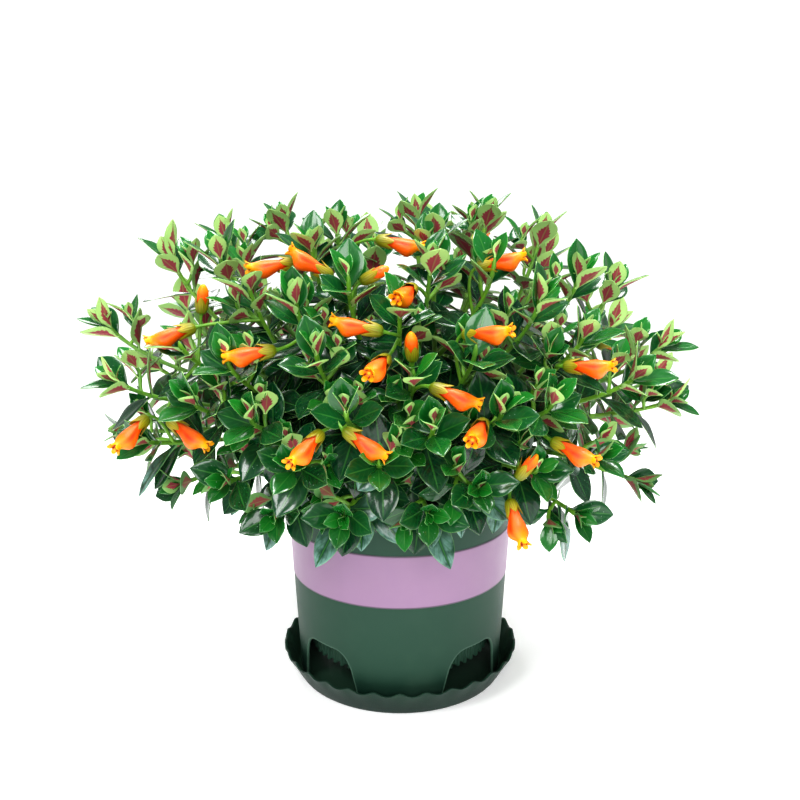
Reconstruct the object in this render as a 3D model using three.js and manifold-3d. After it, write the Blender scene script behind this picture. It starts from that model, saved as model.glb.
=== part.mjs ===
// Potted goldfish plant (Nematanthus): a bushy trailing house plant with pouched orange
// flowers, in a green plastic nursery pot that stands loose in a saucer with a scalloped rim.
// Millimetres, +Z up. The origin is the centre of the saucer's underside, and the front,
// with the slotted foot turned half left and half right, faces -Y.
import * as THREE from 'three';
import { mergeVertices } from 'three/addons/utils/BufferGeometryUtils.js';
import Module from 'manifold-3d';

const wasm = await Module();
wasm.setup();

// Driving dimensions

// Clear room between touching pieces.
const GAP = 0.3;

const SAUCER = {
  baseRadius: 63.2,
  rimRadius: 72.2,
  rimHeight: 16.5,
  wall: 1.4,
  floor: 1.6,
  scallops: 30,
  scallopDepth: 2.2,
  stepsPerScallop: 2,
  fillet: 0.4,
};

const POT = {
  bottom: SAUCER.floor + GAP,
  footRadius: 61.8,
  shoulderRadius: 68.1,
  shoulderHeight: 121,
  rimRadius: 70,
  rimTop: 128,
  wall: 1.8,
  lipWidth: 2.8,
  floorTop: 36,
  floorThickness: 2,
  sides: 28,
};

// Four arched slots cut the foot of the pot; the comb is the ribbed skirt behind them.
const SLOT = {
  azimuths: [44, 136, 224, 316],
  top: 35,
  shoulder: 22,
  topHalfWidth: 7,
  shoulderHalfWidth: 19.5,
  baseHalfWidth: 24,
  corner: 3,
};
const COMB = { outerRadius: 55.6, ribDepth: 1.6, thickness: 3, bottom: 19, toothHeight: 2 };

// The mound is given as radius and height above the soil's edge; trunks stand in holes.
const SOIL = {
  top: 118,
  mound: [
    [44, 0.6],
    [22, 1],
    [0, 1.2],
  ],
  relief: 1.4,
  sides: POT.sides / 2,
  holeDepth: 20,
  holeRoom: 0.42,
};

// Stems have four sides, so that each leaf of a crosswise pair grows out of one side.
const STEM = {
  trunkRadius: 2.4,
  trunkSides: 5,
  baseRadius: 1.8,
  tipRadius: 1.4,
  nodeHeight: 1.8,
  step: 44,
  samples: 24,
  rootInset: 1.2,
  rootLength: 5,
};

// How a shoot bends: its curve's reach, its rise from the trunk, the lift of its heading
// at the tip, and the twist of its leaf pairs in degrees.
const BEND = { reach: 0.35, rise: 0.9, lift: 0.3, twist: 25 };


// The blade is broadest between its two shoulders, curls down towards its tip and turns
// its upper face to the light.
const LEAF = {
  length: 28,
  width: 14,
  thickness: 0.8,
  curl: 0.1,
  shoulders: [0.34, 0.7],
  halfWidth: 0.47,
  toLight: 0.45,
};

// The two largest leaf pairs of each shoot: distance below the tip, opening from the
// stem in degrees, and size against a full-grown leaf.
const PAIRS = [
  { below: 7, opening: 42, size: 0.86 },
  { below: 20, opening: 62, size: 1.03 },
];

// A leaf that would meet a neighbour is swung about its stem, and opened or closed.
const ESCAPES = [
  [0, 0],
  [12, -6],
  [-12, -6],
  [24, 4],
  [-24, 4],
  [0, -14],
  [0, 14],
  [22, -14],
  [-22, -14],
];
const LEAST_OPENING = 26;
const VARIATION = { swing: 10, opening: 7, size: [0.92, 1.06] };

// Room that a leaf keeps from other plants, and how far from its foot it may touch its own.
const ROOM = 0.35;
const OWN_STEM = 0.25;

// Shoot tips lie on an egg-shaped dome around this centre, with these half axes.
const DOME = { centre: [-8, 5, 165], halfAxes: [162, 122, 106] };

const FIRST_FORK = 132;

// The rooted plants: where each stands in the soil, the height of its trunk, and the tips
// of its shoots.
const PLANTS = [
  {
    root: [0, -46],
    trunk: 152,
    tips: [
      [38, -111, 152],
      [15, -115, 180],
      [14, -108, 138],
      [6, -107, 202],
      [-10, -117, 165],
      [-25, -113, 187],
      [-28, -108, 136],
    ],
  },
  {
    root: [35, -32],
    trunk: 156,
    tips: [
      [47, -107, 185],
      [66, -104, 158],
      [72, -97, 187],
      [100, -85, 160],
      [92, -82, 128],
      [90, -75, 215],
      [120, -65, 195],
    ],
  },
  {
    root: [47, 0],
    trunk: 156,
    tips: [
      [150, -32, 176],
      [135, -32, 130],
      [144, -28, 205],
      [120, -6, 233],
      [152, 10, 180],
      [130, 35, 205],
      [130, 38, 150],
    ],
  },
  {
    root: [34, 34],
    trunk: 154,
    tips: [
      [112, 68, 170],
      [88, 95, 185],
      [60, 113, 160],
      [92, 78, 215],
      [80, 98, 140],
    ],
  },
  {
    root: [-2, 47],
    trunk: 154,
    tips: [
      [25, 122, 170],
      [-15, 124, 190],
      [5, 122, 145],
      [15, 108, 212],
      [-42, 118, 160],
    ],
  },
  {
    root: [-35, 33],
    trunk: 154,
    tips: [
      [-72, 110, 185],
      [-100, 95, 155],
      [-122, 70, 190],
      [-92, 82, 215],
      [-70, 112, 145],
    ],
  },
  {
    root: [-47, 0],
    trunk: 158,
    tips: [
      [-150, -55, 192],
      [-166, -10, 214],
      [-156, -25, 158],
      [-152, 28, 185],
      [-135, 50, 215],
      [-138, 50, 150],
    ],
  },
  {
    root: [-35, -33],
    trunk: 156,
    tips: [
      [-50, -115, 163],
      [-70, -105, 182],
      [-82, -95, 207],
      [-85, -100, 152],
      [-100, -90, 187],
      [-110, -76, 214],
      [-130, -75, 165],
      [-62, -98, 134],
      [-118, -62, 138],
    ],
  },
  {
    root: [2, -20],
    trunk: 182,
    tips: [
      [0, -90, 232],
      [35, -100, 212],
      [-25, -80, 242],
      [15, -68, 250],
      [47, -62, 250],
      [68, -75, 232],
      [-39, -102, 211],
    ],
  },
  {
    root: [21, 3],
    trunk: 196,
    tips: [
      [93, -42, 240],
      [82, 10, 265],
      [50, 8, 276],
      [88, 50, 242],
      [50, 50, 266],
      [20, -25, 268],
    ],
  },
  {
    root: [0, 22],
    trunk: 190,
    tips: [
      [10, 18, 276],
      [20, 62, 260],
      [-20, 78, 250],
      [48, 85, 240],
      [-56, 76, 243],
    ],
  },
  {
    root: [-22, 1],
    trunk: 200,
    tips: [
      [-130, 0, 250],
      [-100, 8, 260],
      [-46, -48, 262],
      [-68, 22, 272],
      [-34, -28, 270],
      [-95, -35, 250],
      [-105, 48, 240],
      [-50, -84, 232],
      [-74, -72, 238],
    ],
  },
];

// Open flowers and buds: the foot of the calyx, then the azimuth (from the front towards +X)
// and the rise in degrees of the way the mouth points.
const FLOWERS = [
  { foot: [-54, -55, 256], azimuth: -70, rise: -5 },
  { foot: [-34, -70, 250], azimuth: -87, rise: 33 },
  { foot: [-20, -74, 248], azimuth: 95, rise: 27, bud: true },
  { foot: [-102, -66, 231], azimuth: 35, rise: 73, bud: true },
  { foot: [-104, -71, 225], azimuth: -72, rise: -15 },
  { foot: [-60, -97, 218], azimuth: -78, rise: -6 },
  { foot: [-8, -98, 227], azimuth: -90, rise: 12 },
  { foot: [-6, -106, 216], azimuth: -20, rise: -8 },
  { foot: [7, -78, 246], azimuth: -20, rise: -6 },
  { foot: [-13, -42, 267], azimuth: 87, rise: -10 },
  { foot: [39, -60, 254], azimuth: 84, rise: 14 },
  { foot: [30, -95, 225], azimuth: 66, rise: 8 },
  { foot: [6, -106, 214], azimuth: -10, rise: 70, bud: true },
  { foot: [14, -111, 203], azimuth: 80, rise: -18 },
  { foot: [40, -112, 186], azimuth: -17, rise: -7 },
  { foot: [-129, -80, 180], azimuth: -33, rise: -27 },
  { foot: [-117, -88, 181], azimuth: 72, rise: -30 },
  { foot: [-37, -116, 182], azimuth: -35, rise: -23 },
  { foot: [-27, -116, 183], azimuth: 67, rise: -26 },
  { foot: [74, -103, 174], azimuth: 52, rise: -14 },
  { foot: [81, -88, 208], azimuth: 64, rise: 5 },
  { foot: [57, -109, 156], azimuth: 81, rise: 54, bud: true },
  { foot: [54, -107, 145], azimuth: 15, rise: -41 },
  { foot: [-60, 100, 228], azimuth: -150, rise: -5 },
  { foot: [10, 118, 205], azimuth: 165, rise: -15 },
  { foot: [75, 95, 200], azimuth: 130, rise: 5 },
  { foot: [-110, 80, 205], azimuth: -115, rise: -10 },
  { foot: [125, 50, 195], azimuth: 100, rise: -20 },
  { foot: [45, 75, 256], azimuth: 150, rise: 15 },
  { foot: [40, 118, 165], azimuth: 150, rise: -35 },
];

const PETALS = 5;

// A flower stalk springs from the nearest leafy stem behind its flower, between these
// distances below the tip, and bends into line with the flower over the bend. A stem that
// lies less than the bend behind the flower counts as farther by the detour.
const STALK = {
  radius: 0.85,
  rootRadius: 0.6,
  bend: 7,
  highest: 12,
  lowest: 60,
  step: 2,
  detour: 3,
};

// Distances along the flower from the foot of its calyx, with the radii there.
const CALYX = {
  foot: { at: 0, radius: 1.1 },
  waist: { at: 3, radius: 3.3 },
  notch: { at: 5.2, outer: 4, inner: 3.3 },
  tip: { at: 9.5, radius: 4.6 },
  seat: { at: 3.2, radius: 2.6 },
};

// Rings of the corolla: distance along, drop of the centre, half width, half height.
const POUCH = {
  root: [3.55, 0, 2.1, 2.1],
  swell: [13.5, 0.9, 4.5, 4],
  belly: [18, 1.4, 5.3, 4.5],
  throat: [22.8, -0.3, 2.5, 2.3],
  lobes: [26, -0.5, 4, 4],
  mouth: [24.6, -0.3, 1.3, 1.3],
};
const LOBE_NOTCH = 0.62;
const BUD = [
  [3.55, 0, 2.1, 2.1],
  [12, 0, 3, 3],
  [16.5, 0, 0, 0],
];

// Repeatable draws

class Draws {
  constructor(seed) {
    this.state = seed;
    this.next();
  }

  next() {
    this.state = (Math.imul(this.state, 1664525) + 1013904223) >>> 0;
    return this.state / 4294967296;
  }

  between(low, high) {
    return low + (high - low) * this.next();
  }
}

// Solids

const vector = (x, y, z) => new THREE.Vector3(x, y, z);
const mix = (a, b, t) => a.clone().lerp(b, t);
const radians = THREE.MathUtils.degToRad;
const UP = vector(0, 0, 1);
const TOUCH = 0.01;

// Merges shared corners and drops the triangles that have closed up.
function weld(geometry) {
  const bare = geometry.clone();
  bare.deleteAttribute('normal');
  bare.deleteAttribute('uv');
  const merged = mergeVertices(bare, 1e-4);
  const index = merged.getIndex().array;
  const kept = [];
  for (let i = 0; i < index.length; i += 3) {
    const [a, b, c] = [index[i], index[i + 1], index[i + 2]];
    if (a !== b && b !== c && c !== a) kept.push(a, b, c);
  }
  merged.setIndex(kept);
  return merged;
}

function solid(geometry) {
  const welded = weld(geometry);
  return new wasm.Manifold(
    new wasm.Mesh({
      numProp: 3,
      vertProperties: new Float32Array(welded.getAttribute('position').array),
      triVerts: new Uint32Array(welded.getIndex().array),
    }),
  );
}

function geometryOf(manifold) {
  const mesh = manifold.getMesh();
  const geometry = new THREE.BufferGeometry();
  geometry.setAttribute('position', new THREE.BufferAttribute(mesh.vertProperties, 3));
  geometry.setIndex(new THREE.BufferAttribute(mesh.triVerts, 1));
  return geometry;
}

function skinOf(points, faces) {
  const geometry = new THREE.BufferGeometry();
  const positions = points.flatMap((p) => p.toArray());
  geometry.setAttribute('position', new THREE.Float32BufferAttribute(positions, 3));
  geometry.setIndex(faces.flat());
  return geometry;
}

// A closed skin over rings of points with equal counts. Points of a ring may coincide.
function loft(rings) {
  const count = rings[0].length;
  const faces = [];
  for (let r = 0; r < rings.length - 1; r += 1) {
    for (let i = 0; i < count; i += 1) {
      const a = r * count + i;
      const b = r * count + ((i + 1) % count);
      faces.push([a, b, b + count], [a, b + count, a + count]);
    }
  }
  const last = (rings.length - 1) * count;
  for (let i = 1; i < count - 1; i += 1) {
    faces.push([0, i + 1, i], [last, last + i, last + i + 1]);
  }
  return skinOf(rings.flat(), faces);
}

function join(solids) {
  return solids.reduce((whole, piece) => whole.add(piece));
}

// The outer skin alone: pockets sealed between joined pieces are filled, and scraps go.
function outerSkin(geometry) {
  const index = geometry.getIndex().array;
  const home = Array.from({ length: geometry.getAttribute('position').count }, (_, i) => i);
  const find = (i) => {
    let root = i;
    while (home[root] !== root) root = home[root];
    home[i] = root;
    return root;
  };
  for (let i = 0; i < index.length; i += 3) {
    home[find(index[i + 1])] = find(index[i]);
    home[find(index[i + 2])] = find(index[i]);
  }
  const shells = new Map();
  for (let i = 0; i < index.length; i += 3) {
    const root = find(index[i]);
    if (!shells.has(root)) shells.set(root, []);
    shells.get(root).push(index[i], index[i + 1], index[i + 2]);
  }
  const largest = [...shells.values()].sort((a, b) => b.length - a.length)[0];
  geometry.setIndex(largest);
  return geometry;
}

// Lathe profiles are pairs of radius and height.
function turned(profile, sides) {
  const points = profile.map(([radius, height]) => new THREE.Vector2(radius, height));
  return new THREE.LatheGeometry(points, sides).rotateX(Math.PI / 2);
}

function reshape(geometry, change) {
  const position = geometry.getAttribute('position');
  const p = new THREE.Vector3();
  for (let i = 0; i < position.count; i += 1) {
    p.fromBufferAttribute(position, i);
    change(p);
    position.setXYZ(i, p.x, p.y, p.z);
  }
  return geometry;
}

// Azimuth in degrees from the front (-Y) towards +X.
const azimuthOf = (p) => THREE.MathUtils.radToDeg(Math.atan2(p.x, -p.y));

// Pot, saucer and soil

function saucerGeometry() {
  const { baseRadius, rimRadius, rimHeight, wall, floor, fillet } = SAUCER;
  const profile = [
    [0, 0],
    [baseRadius, 0],
    [rimRadius, rimHeight],
    [rimRadius - wall, rimHeight],
    [baseRadius - fillet, floor],
    [0, floor],
  ];
  const dish = turned(profile, SAUCER.scallops * SAUCER.stepsPerScallop);
  reshape(dish, (p) => {
    if (p.z < rimHeight - TOUCH) return;
    p.z += (SAUCER.scallopDepth / 2) * Math.cos(radians(azimuthOf(p) * SAUCER.scallops));
  });
  return weld(dish);
}

const potOuterRadius = (z) =>
  THREE.MathUtils.mapLinear(
    z,
    POT.bottom,
    POT.shoulderHeight,
    POT.footRadius,
    POT.shoulderRadius,
  );

function potShell() {
  const { bottom, shoulderHeight, rimRadius, rimTop, floorTop } = POT;
  const inner = (z) => potOuterRadius(z) - POT.wall;
  const underside = floorTop - POT.floorThickness;
  const profile = [
    [0, underside],
    [inner(underside), underside],
    [inner(bottom), bottom],
    [potOuterRadius(bottom), bottom],
    [POT.shoulderRadius, shoulderHeight],
    [rimRadius, shoulderHeight + 1],
    [rimRadius, rimTop],
    [rimRadius - POT.lipWidth, rimTop],
    [inner(floorTop), floorTop],
    [0, floorTop],
  ];
  return solid(turned(profile, POT.sides));
}

// An arched outline pushed through the pot's wall at each slot, short of the comb.
function slotCutters() {
  const { top, shoulder, topHalfWidth, shoulderHalfWidth, baseHalfWidth, corner } = SLOT;
  const outline = new THREE.Shape();
  outline.moveTo(-baseHalfWidth, 0);
  outline.lineTo(baseHalfWidth, 0);
  outline.lineTo(shoulderHalfWidth, shoulder);
  outline.quadraticCurveTo(shoulderHalfWidth - corner, top, topHalfWidth, top);
  outline.lineTo(-topHalfWidth, top);
  outline.quadraticCurveTo(corner - shoulderHalfWidth, top, -shoulderHalfWidth, shoulder);
  const start = COMB.outerRadius + 1;
  return SLOT.azimuths.map((azimuth) => {
    const cutter = new THREE.ExtrudeGeometry(outline, {
      depth: POT.rimRadius - start,
      bevelEnabled: false,
      curveSegments: 3,
    });
    cutter.rotateX(Math.PI / 2).translate(0, -start, 0);
    return solid(cutter.rotateZ(radians(azimuth)));
  });
}

// A ring under the floor with ribs outside and teeth below, one rib to every other side.
function combRing() {
  const { outerRadius, ribDepth, thickness, bottom, toothHeight } = COMB;
  const top = POT.floorTop - POT.floorThickness / 2;
  const profile = [
    [outerRadius - thickness, top],
    [outerRadius - thickness, bottom],
    [outerRadius, bottom],
    [outerRadius, top],
    [outerRadius - thickness, top],
  ];
  const ring = reshape(turned(profile, POT.sides), (p) => {
    const side = Math.round((azimuthOf(p) * POT.sides) / 360);
    if (side % 2 === 0) return;
    if (p.z < bottom + TOUCH) p.z += toothHeight;
    if (Math.hypot(p.x, p.y) > outerRadius - TOUCH) {
      const shrink = 1 - ribDepth / outerRadius;
      p.multiply(vector(shrink, shrink, 1));
    }
  });
  return solid(ring);
}

function potGeometry() {
  const slotted = slotCutters().reduce((whole, slot) => whole.subtract(slot), potShell());
  return geometryOf(slotted.add(combRing()));
}

function soilGeometry() {
  const bottom = POT.floorTop + GAP;
  const radius = (z) => potOuterRadius(z) - POT.wall - GAP;
  const profile = [
    [0, bottom],
    [radius(bottom), bottom],
    [radius(SOIL.top), SOIL.top],
    ...SOIL.mound.map(([distance, height]) => [distance, SOIL.top + height]),
  ];
  const mound = reshape(turned(profile, SOIL.sides), (p) => {
    if (p.z < SOIL.top - TOUCH) return;
    p.z += SOIL.relief * Math.sin(p.x * 0.31 + 1) * Math.cos(p.y * 0.27);
  });
  const holes = PLANTS.map(({ root }) => {
    const floor = vector(root[0], root[1], SOIL.top - SOIL.holeDepth - GAP);
    const mouth = vector(root[0], root[1], SOIL.top + 10);
    return solid(loft(trunkRings(floor, mouth, STEM.trunkRadius + SOIL.holeRoom)));
  });
  return geometryOf(holes.reduce((whole, hole) => whole.subtract(hole), solid(mound)));
}

// Shoots

function trunkRings(bottom, top, radius) {
  return [bottom, top].map((centre) =>
    polygon(centre, vector(1, 0, 0), vector(0, 1, 0), radius, STEM.trunkSides),
  );
}

// A ring of points about a centre, turning from across to up.
function polygon(centre, across, up, radius, sides, start = 0) {
  return Array.from({ length: sides }, (_, i) => {
    const angle = ((i + start) / sides) * 2 * Math.PI;
    return centre
      .clone()
      .addScaledVector(across, radius * Math.cos(angle))
      .addScaledVector(up, radius * Math.sin(angle));
  });
}

// A shoot leaves its trunk outwards and upwards, and ends along its heading, which
// points out of the dome and a little up.
class Shoot {
  constructor(root, tip, seed) {
    const centre = vector(...DOME.centre);
    const axes = vector(...DOME.halfAxes);
    const outward = tip.clone().sub(centre).divide(axes).divide(axes).normalize();
    this.heading = outward.addScaledVector(UP, BEND.lift).normalize();
    this.side = UP.clone().cross(tip.clone().sub(root)).normalize();
    const rise = this.side.clone().cross(UP).addScaledVector(UP, BEND.rise).normalize();
    const reach = tip.distanceTo(root) * BEND.reach;
    this.curve = new THREE.CubicBezierCurve3(
      root,
      root.clone().addScaledVector(rise, reach),
      tip.clone().addScaledVector(this.heading, -reach),
      tip,
    );
    this.points = this.curve.getPoints(STEM.samples);
    this.draws = new Draws(seed);
    this.twist = this.draws.between(-BEND.twist, BEND.twist);
    this.leaves = [];
  }

  get length() {
    return this.points.reduce((sum, p, i) => (i ? sum + p.distanceTo(this.points[i - 1]) : 0), 0);
  }

  // Place and direction of the stem at a distance below the tip.
  at(below) {
    let left = below;
    for (let i = STEM.samples; i > 0; i -= 1) {
      const [upper, lower] = [this.points[i], this.points[i - 1]];
      const step = upper.distanceTo(lower);
      if (left <= step) {
        const along = upper.clone().sub(lower).normalize();
        return { place: mix(upper, lower, left / step), along };
      }
      left -= step;
    }
    return { place: this.points[0].clone(), along: this.curve.getTangent(0) };
  }

  // Crosswise directions at a place on the stem, turned by the shoot's own twist.
  frame(along) {
    const across = this.side.clone().addScaledVector(along, -this.side.dot(along)).normalize();
    across.applyAxisAngle(along, radians(this.twist));
    return [across, along.clone().cross(across)];
  }

  ring(below) {
    const { place, along } = this.at(below);
    const [across, up] = this.frame(along);
    const t = THREE.MathUtils.clamp(1 - below / this.length, 0, 1);
    const radius = THREE.MathUtils.lerp(STEM.baseRadius, STEM.tipRadius, t);
    return polygon(place, across, up, radius, 4, -0.5);
  }

  // The root is a point inside the trunk, so the stem grows out of it as one.
  rings(stations) {
    const inside = this.curve.getTangent(0).multiplyScalar(-STEM.rootInset);
    const root = this.points[0].clone().add(inside);
    return [[root, root, root, root], ...stations.map((below) => this.ring(below))];
  }

  // Where the stem has rings, as distances below the tip: in steps up the bare stem, then
  // below and above each pair of leaves.
  get stations() {
    const half = STEM.nodeHeight / 2;
    const lowest = PAIRS.at(-1).below + half;
    const bare = this.length - STEM.rootLength - lowest;
    const steps = Math.max(1, Math.round(bare / STEM.step));
    const stations = Array.from({ length: steps }, (_, i) => lowest + bare * (1 - i / steps));
    [...PAIRS].reverse().forEach(({ below }) => stations.push(below + half, below - half));
    return stations;
  }

  // The middle of the stem, which runs straight from ring to ring.
  middle(below) {
    const stations = this.stations;
    const next = Math.max(1, stations.findIndex((station) => station < below));
    const [lower, upper] = [stations[next - 1], stations[next]];
    const share = THREE.MathUtils.clamp((lower - below) / (lower - upper), 0, 1);
    return mix(this.at(lower).place, this.at(upper).place, share);
  }

  skin() {
    const bud = this.points.at(-1);
    return new Skin([...this.rings(this.stations), [bud, bud, bud, bud]]);
  }

  plainStem() {
    return solid(this.skin().geometry());
  }

  // The stem with its leaves: each leaf takes the place of one side of its node.
  leafyStem() {
    const skin = this.skin();
    this.leaves.forEach(({ pose, rank, side }) => {
      const band = skin.bands - 2 - 2 * rank;
      skin.grow(band, side, bladePoints(pose));
    });
    return solid(skin.geometry());
  }
}

// A four-sided closed skin whose sides can be opened to let a blade grow out.
class Skin {
  constructor(rings) {
    this.points = rings.flat();
    this.bands = rings.length - 1;
    this.opened = new Set();
    this.faces = [
      [0, 2, 1],
      [0, 3, 2],
    ];
    const last = this.bands * 4;
    this.faces.push([last, last + 1, last + 2], [last, last + 2, last + 3]);
  }

  corners(band, side) {
    const a = band * 4 + side;
    const b = band * 4 + ((side + 1) % 4);
    return [a, b, a + 4, b + 4];
  }

  grow(band, side, blade) {
    this.opened.add(`${band}/${side}`);
    const start = this.points.length;
    this.points.push(...blade);
    const number = blade.map((_, i) => start + i);
    this.faces.push(...bladeFaces(this.corners(band, side), number));
  }

  geometry() {
    const faces = [...this.faces];
    for (let band = 0; band < this.bands; band += 1) {
      for (let side = 0; side < 4; side += 1) {
        if (this.opened.has(`${band}/${side}`)) continue;
        const [a, b, c, d] = this.corners(band, side);
        faces.push([a, b, d], [a, d, c]);
      }
    }
    return skinOf(this.points, faces);
  }
}

// Leaves

// Where a leaf of a pair grows, the way it points and the way its upper face looks.
function leafPose(shoot, { below }, side, swing, opening, size) {
  const { place, along } = shoot.at(below);
  const [across, up] = shoot.frame(along);
  const turn = radians(side * 90 + swing);
  const outward = across.multiplyScalar(Math.cos(turn)).addScaledVector(up, Math.sin(turn));
  const angle = radians(Math.max(opening, LEAST_OPENING));
  const direction = along
    .clone()
    .multiplyScalar(Math.cos(angle))
    .addScaledVector(outward, Math.sin(angle));
  const face = along
    .clone()
    .multiplyScalar(Math.sin(angle))
    .addScaledVector(outward, -Math.cos(angle))
    .addScaledVector(UP, LEAF.toLight);
  face.addScaledVector(direction, -face.dot(direction)).normalize();
  return { place, direction, face, length: LEAF.length * size, width: LEAF.width * size };
}

// Ten points of a blade: five of its upper face, then the five below them. Each face has
// two corners on the left, the tip and two corners on the right. Grow widens it all round.
function bladePoints(pose, grow = 0) {
  const across = pose.direction.clone().cross(pose.face);
  const half = LEAF.halfWidth * pose.width + grow;
  const [near, far] = LEAF.shoulders;
  const outline = [
    [near, half],
    [far, half],
    [1 + grow / pose.length, 0],
    [far, -half],
    [near, -half],
  ];
  return [1, -1].flatMap((layer) =>
    outline.map(([station, aside]) =>
      spine(pose, station)
        .addScaledVector(across, aside)
        .addScaledVector(pose.face, layer * (LEAF.thickness / 2 + grow)),
    ),
  );
}

// The midrib, which bends away from the upper face.
function spine(pose, station) {
  return pose.place
    .clone()
    .addScaledVector(pose.direction, station * pose.length)
    .addScaledVector(pose.face, -LEAF.curl * pose.length * station * station);
}

// Faces of a blade between the four corners that it grows from (lower left, lower right,
// upper left, upper right, seen from outside) and its own ten points. The upper and the
// lower face are split alike.
function bladeFaces([a, b, c, d], number) {
  const top = [c, ...number.slice(0, 5), d];
  const under = [a, ...number.slice(5), b];
  const strips = [
    [6, 0, 1],
    [6, 1, 5],
    [5, 1, 2],
    [5, 2, 4],
    [4, 2, 3],
  ];
  const upper = strips.map((strip) => strip.map((i) => top[i]));
  const lower = strips.map((strip) => strip.map((i) => under[i]).reverse());
  const edge = top.slice(1).flatMap((q, i) => [
    [under[i], under[i + 1], q],
    [under[i], q, top[i]],
  ]);
  return [...upper, ...lower, ...edge];
}

// A blade alone, from a start along its midrib, for finding room among its neighbours.
function blade(pose, grow = 0, start = 0) {
  const foot = [-1, 1].map((layer) =>
    spine(pose, start).addScaledVector(pose.face, layer * (LEAF.thickness / 2 + grow)),
  );
  const points = [...foot, ...bladePoints(pose, grow)];
  const number = points.slice(2).map((_, i) => i + 2);
  return solid(skinOf(points, bladeFaces([0, 0, 1, 1], number)));
}

// Flowers

class Flower {
  constructor({ foot, azimuth, rise, bud = false }) {
    this.foot = vector(...foot);
    this.bud = bud;
    const level = Math.cos(radians(rise));
    this.aim = vector(
      Math.sin(radians(azimuth)) * level,
      -Math.cos(radians(azimuth)) * level,
      Math.sin(radians(rise)),
    );
    this.across = UP.clone().cross(this.aim).normalize();
    this.back = this.aim.clone().cross(this.across);
  }

  // A ten-point ring; paired rings have five corners, each held by two points.
  ring([along, drop, halfWidth, halfHeight], paired, notch = 1) {
    const centre = this.foot
      .clone()
      .addScaledVector(this.aim, along)
      .addScaledVector(this.back, -drop);
    return Array.from({ length: PETALS * 2 }, (_, i) => {
      const step = paired ? Math.floor(i / 2) * 2 : i;
      const angle = (step / (PETALS * 2)) * 2 * Math.PI + Math.PI / 2;
      const reach = i % 2 === 1 ? notch : 1;
      return centre
        .clone()
        .addScaledVector(this.across, halfWidth * reach * Math.cos(angle))
        .addScaledVector(this.back, halfHeight * reach * Math.sin(angle));
    });
  }

  // How hard it is for a stalk to come from a place: its distance, and more for a place
  // that isn't well behind the flower.
  effort(place) {
    const way = this.foot.clone().sub(place);
    const behind = way.dot(this.aim);
    return way.length() + STALK.detour * Math.max(0, STALK.bend - behind);
  }

  // The stalk starts inside the stem, bends into line with the flower and widens into a
  // cup with five sepals, which the corolla stands in.
  stalk(stem) {
    const bend = this.foot.clone().addScaledVector(this.aim, -STALK.bend);
    const curve = new THREE.QuadraticBezierCurve3(stem, bend, this.foot);
    const section = (share, radius) => {
      const turn = new THREE.Quaternion().setFromUnitVectors(this.aim, curve.getTangent(share));
      const centre = curve.getPoint(share);
      return this.ring([0, 0, radius, radius], true).map((p) =>
        p.sub(this.foot).applyQuaternion(turn).add(centre),
      );
    };
    const { foot, waist, notch, tip, seat } = CALYX;
    const disc = (place, paired) => this.ring([place.at, 0, place.radius, place.radius], paired);
    const sepalTips = disc(tip, false);
    const crown = (radius) =>
      this.ring([notch.at, 0, radius, radius], false).map((p, i) =>
        i % 2 === 1 ? p : sepalTips[i],
      );
    return solid(
      loft([
        section(0, STALK.rootRadius),
        section(0.5, STALK.radius),
        disc(foot, true),
        disc(waist, true),
        crown(notch.outer),
        crown(notch.inner),
        disc(seat, true),
      ]),
    );
  }

  corolla() {
    if (this.bud) return loft(BUD.map((row) => this.ring(row, true)));
    const { root, swell, belly, throat, lobes, mouth } = POUCH;
    return loft([
      this.ring(root, true),
      this.ring(swell, false),
      this.ring(belly, false),
      this.ring(throat, true),
      this.ring(lobes, false, LOBE_NOTCH),
      this.ring(mouth, true),
    ]);
  }
}

// Growing the plants

// A placed piece with the ball that holds it, so that far pieces are passed over.
class Piece {
  constructor(plant, body) {
    this.plant = plant;
    this.body = body;
    const geometry = geometryOf(body);
    geometry.computeBoundingSphere();
    this.ball = geometry.boundingSphere;
  }

  meets(other) {
    if (!this.ball.intersectsSphere(other.ball)) return false;
    return !this.body.intersect(other.body).isEmpty();
  }
}

// The lowest shoot leaves its trunk lowest, the highest one at the trunk's top.
const shoots = PLANTS.flatMap(({ root, trunk, tips }, plant) => {
  const sorted = [...tips].sort((a, b) => a[2] - b[2]);
  return sorted.map((tip, i) => {
    const height = THREE.MathUtils.lerp(FIRST_FORK, trunk, i / (tips.length - 1));
    const shoot = new Shoot(vector(root[0], root[1], height), vector(...tip), 100 * plant + i + 1);
    return { plant, shoot };
  });
});

const stems = shoots.map(({ plant, shoot }) => new Piece(plant, shoot.plainStem()));
const trunks = PLANTS.map(({ root, trunk }, plant) => {
  const bottom = vector(root[0], root[1], SOIL.top - SOIL.holeDepth);
  const top = vector(root[0], root[1], trunk + 3);
  return new Piece(plant, solid(loft(trunkRings(bottom, top, STEM.trunkRadius))));
});

const flowers = FLOWERS.map((row) => new Flower(row));
const corollas = flowers.map((flower) => new Piece(-1, solid(flower.corolla())));
const stalks = flowers.map((flower) => {
  let nearest = { effort: Infinity };
  shoots.forEach(({ plant, shoot }) => {
    for (let below = STALK.highest; below < STALK.lowest; below += STALK.step) {
      const place = shoot.middle(below);
      const effort = flower.effort(place);
      if (effort < nearest.effort) nearest = { effort, place, plant };
    }
  });
  return new Piece(nearest.plant, flower.stalk(nearest.place));
});

const pot = potGeometry();
const saucer = saucerGeometry();
const soil = soilGeometry();
const holders = [pot, soil].map((geometry) => new Piece(-1, solid(geometry)));

// Leaves are tried in turn, upper pairs first, and one that finds no room is left out.
const placed = [...stems, ...trunks, ...stalks, ...corollas, ...holders];

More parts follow.
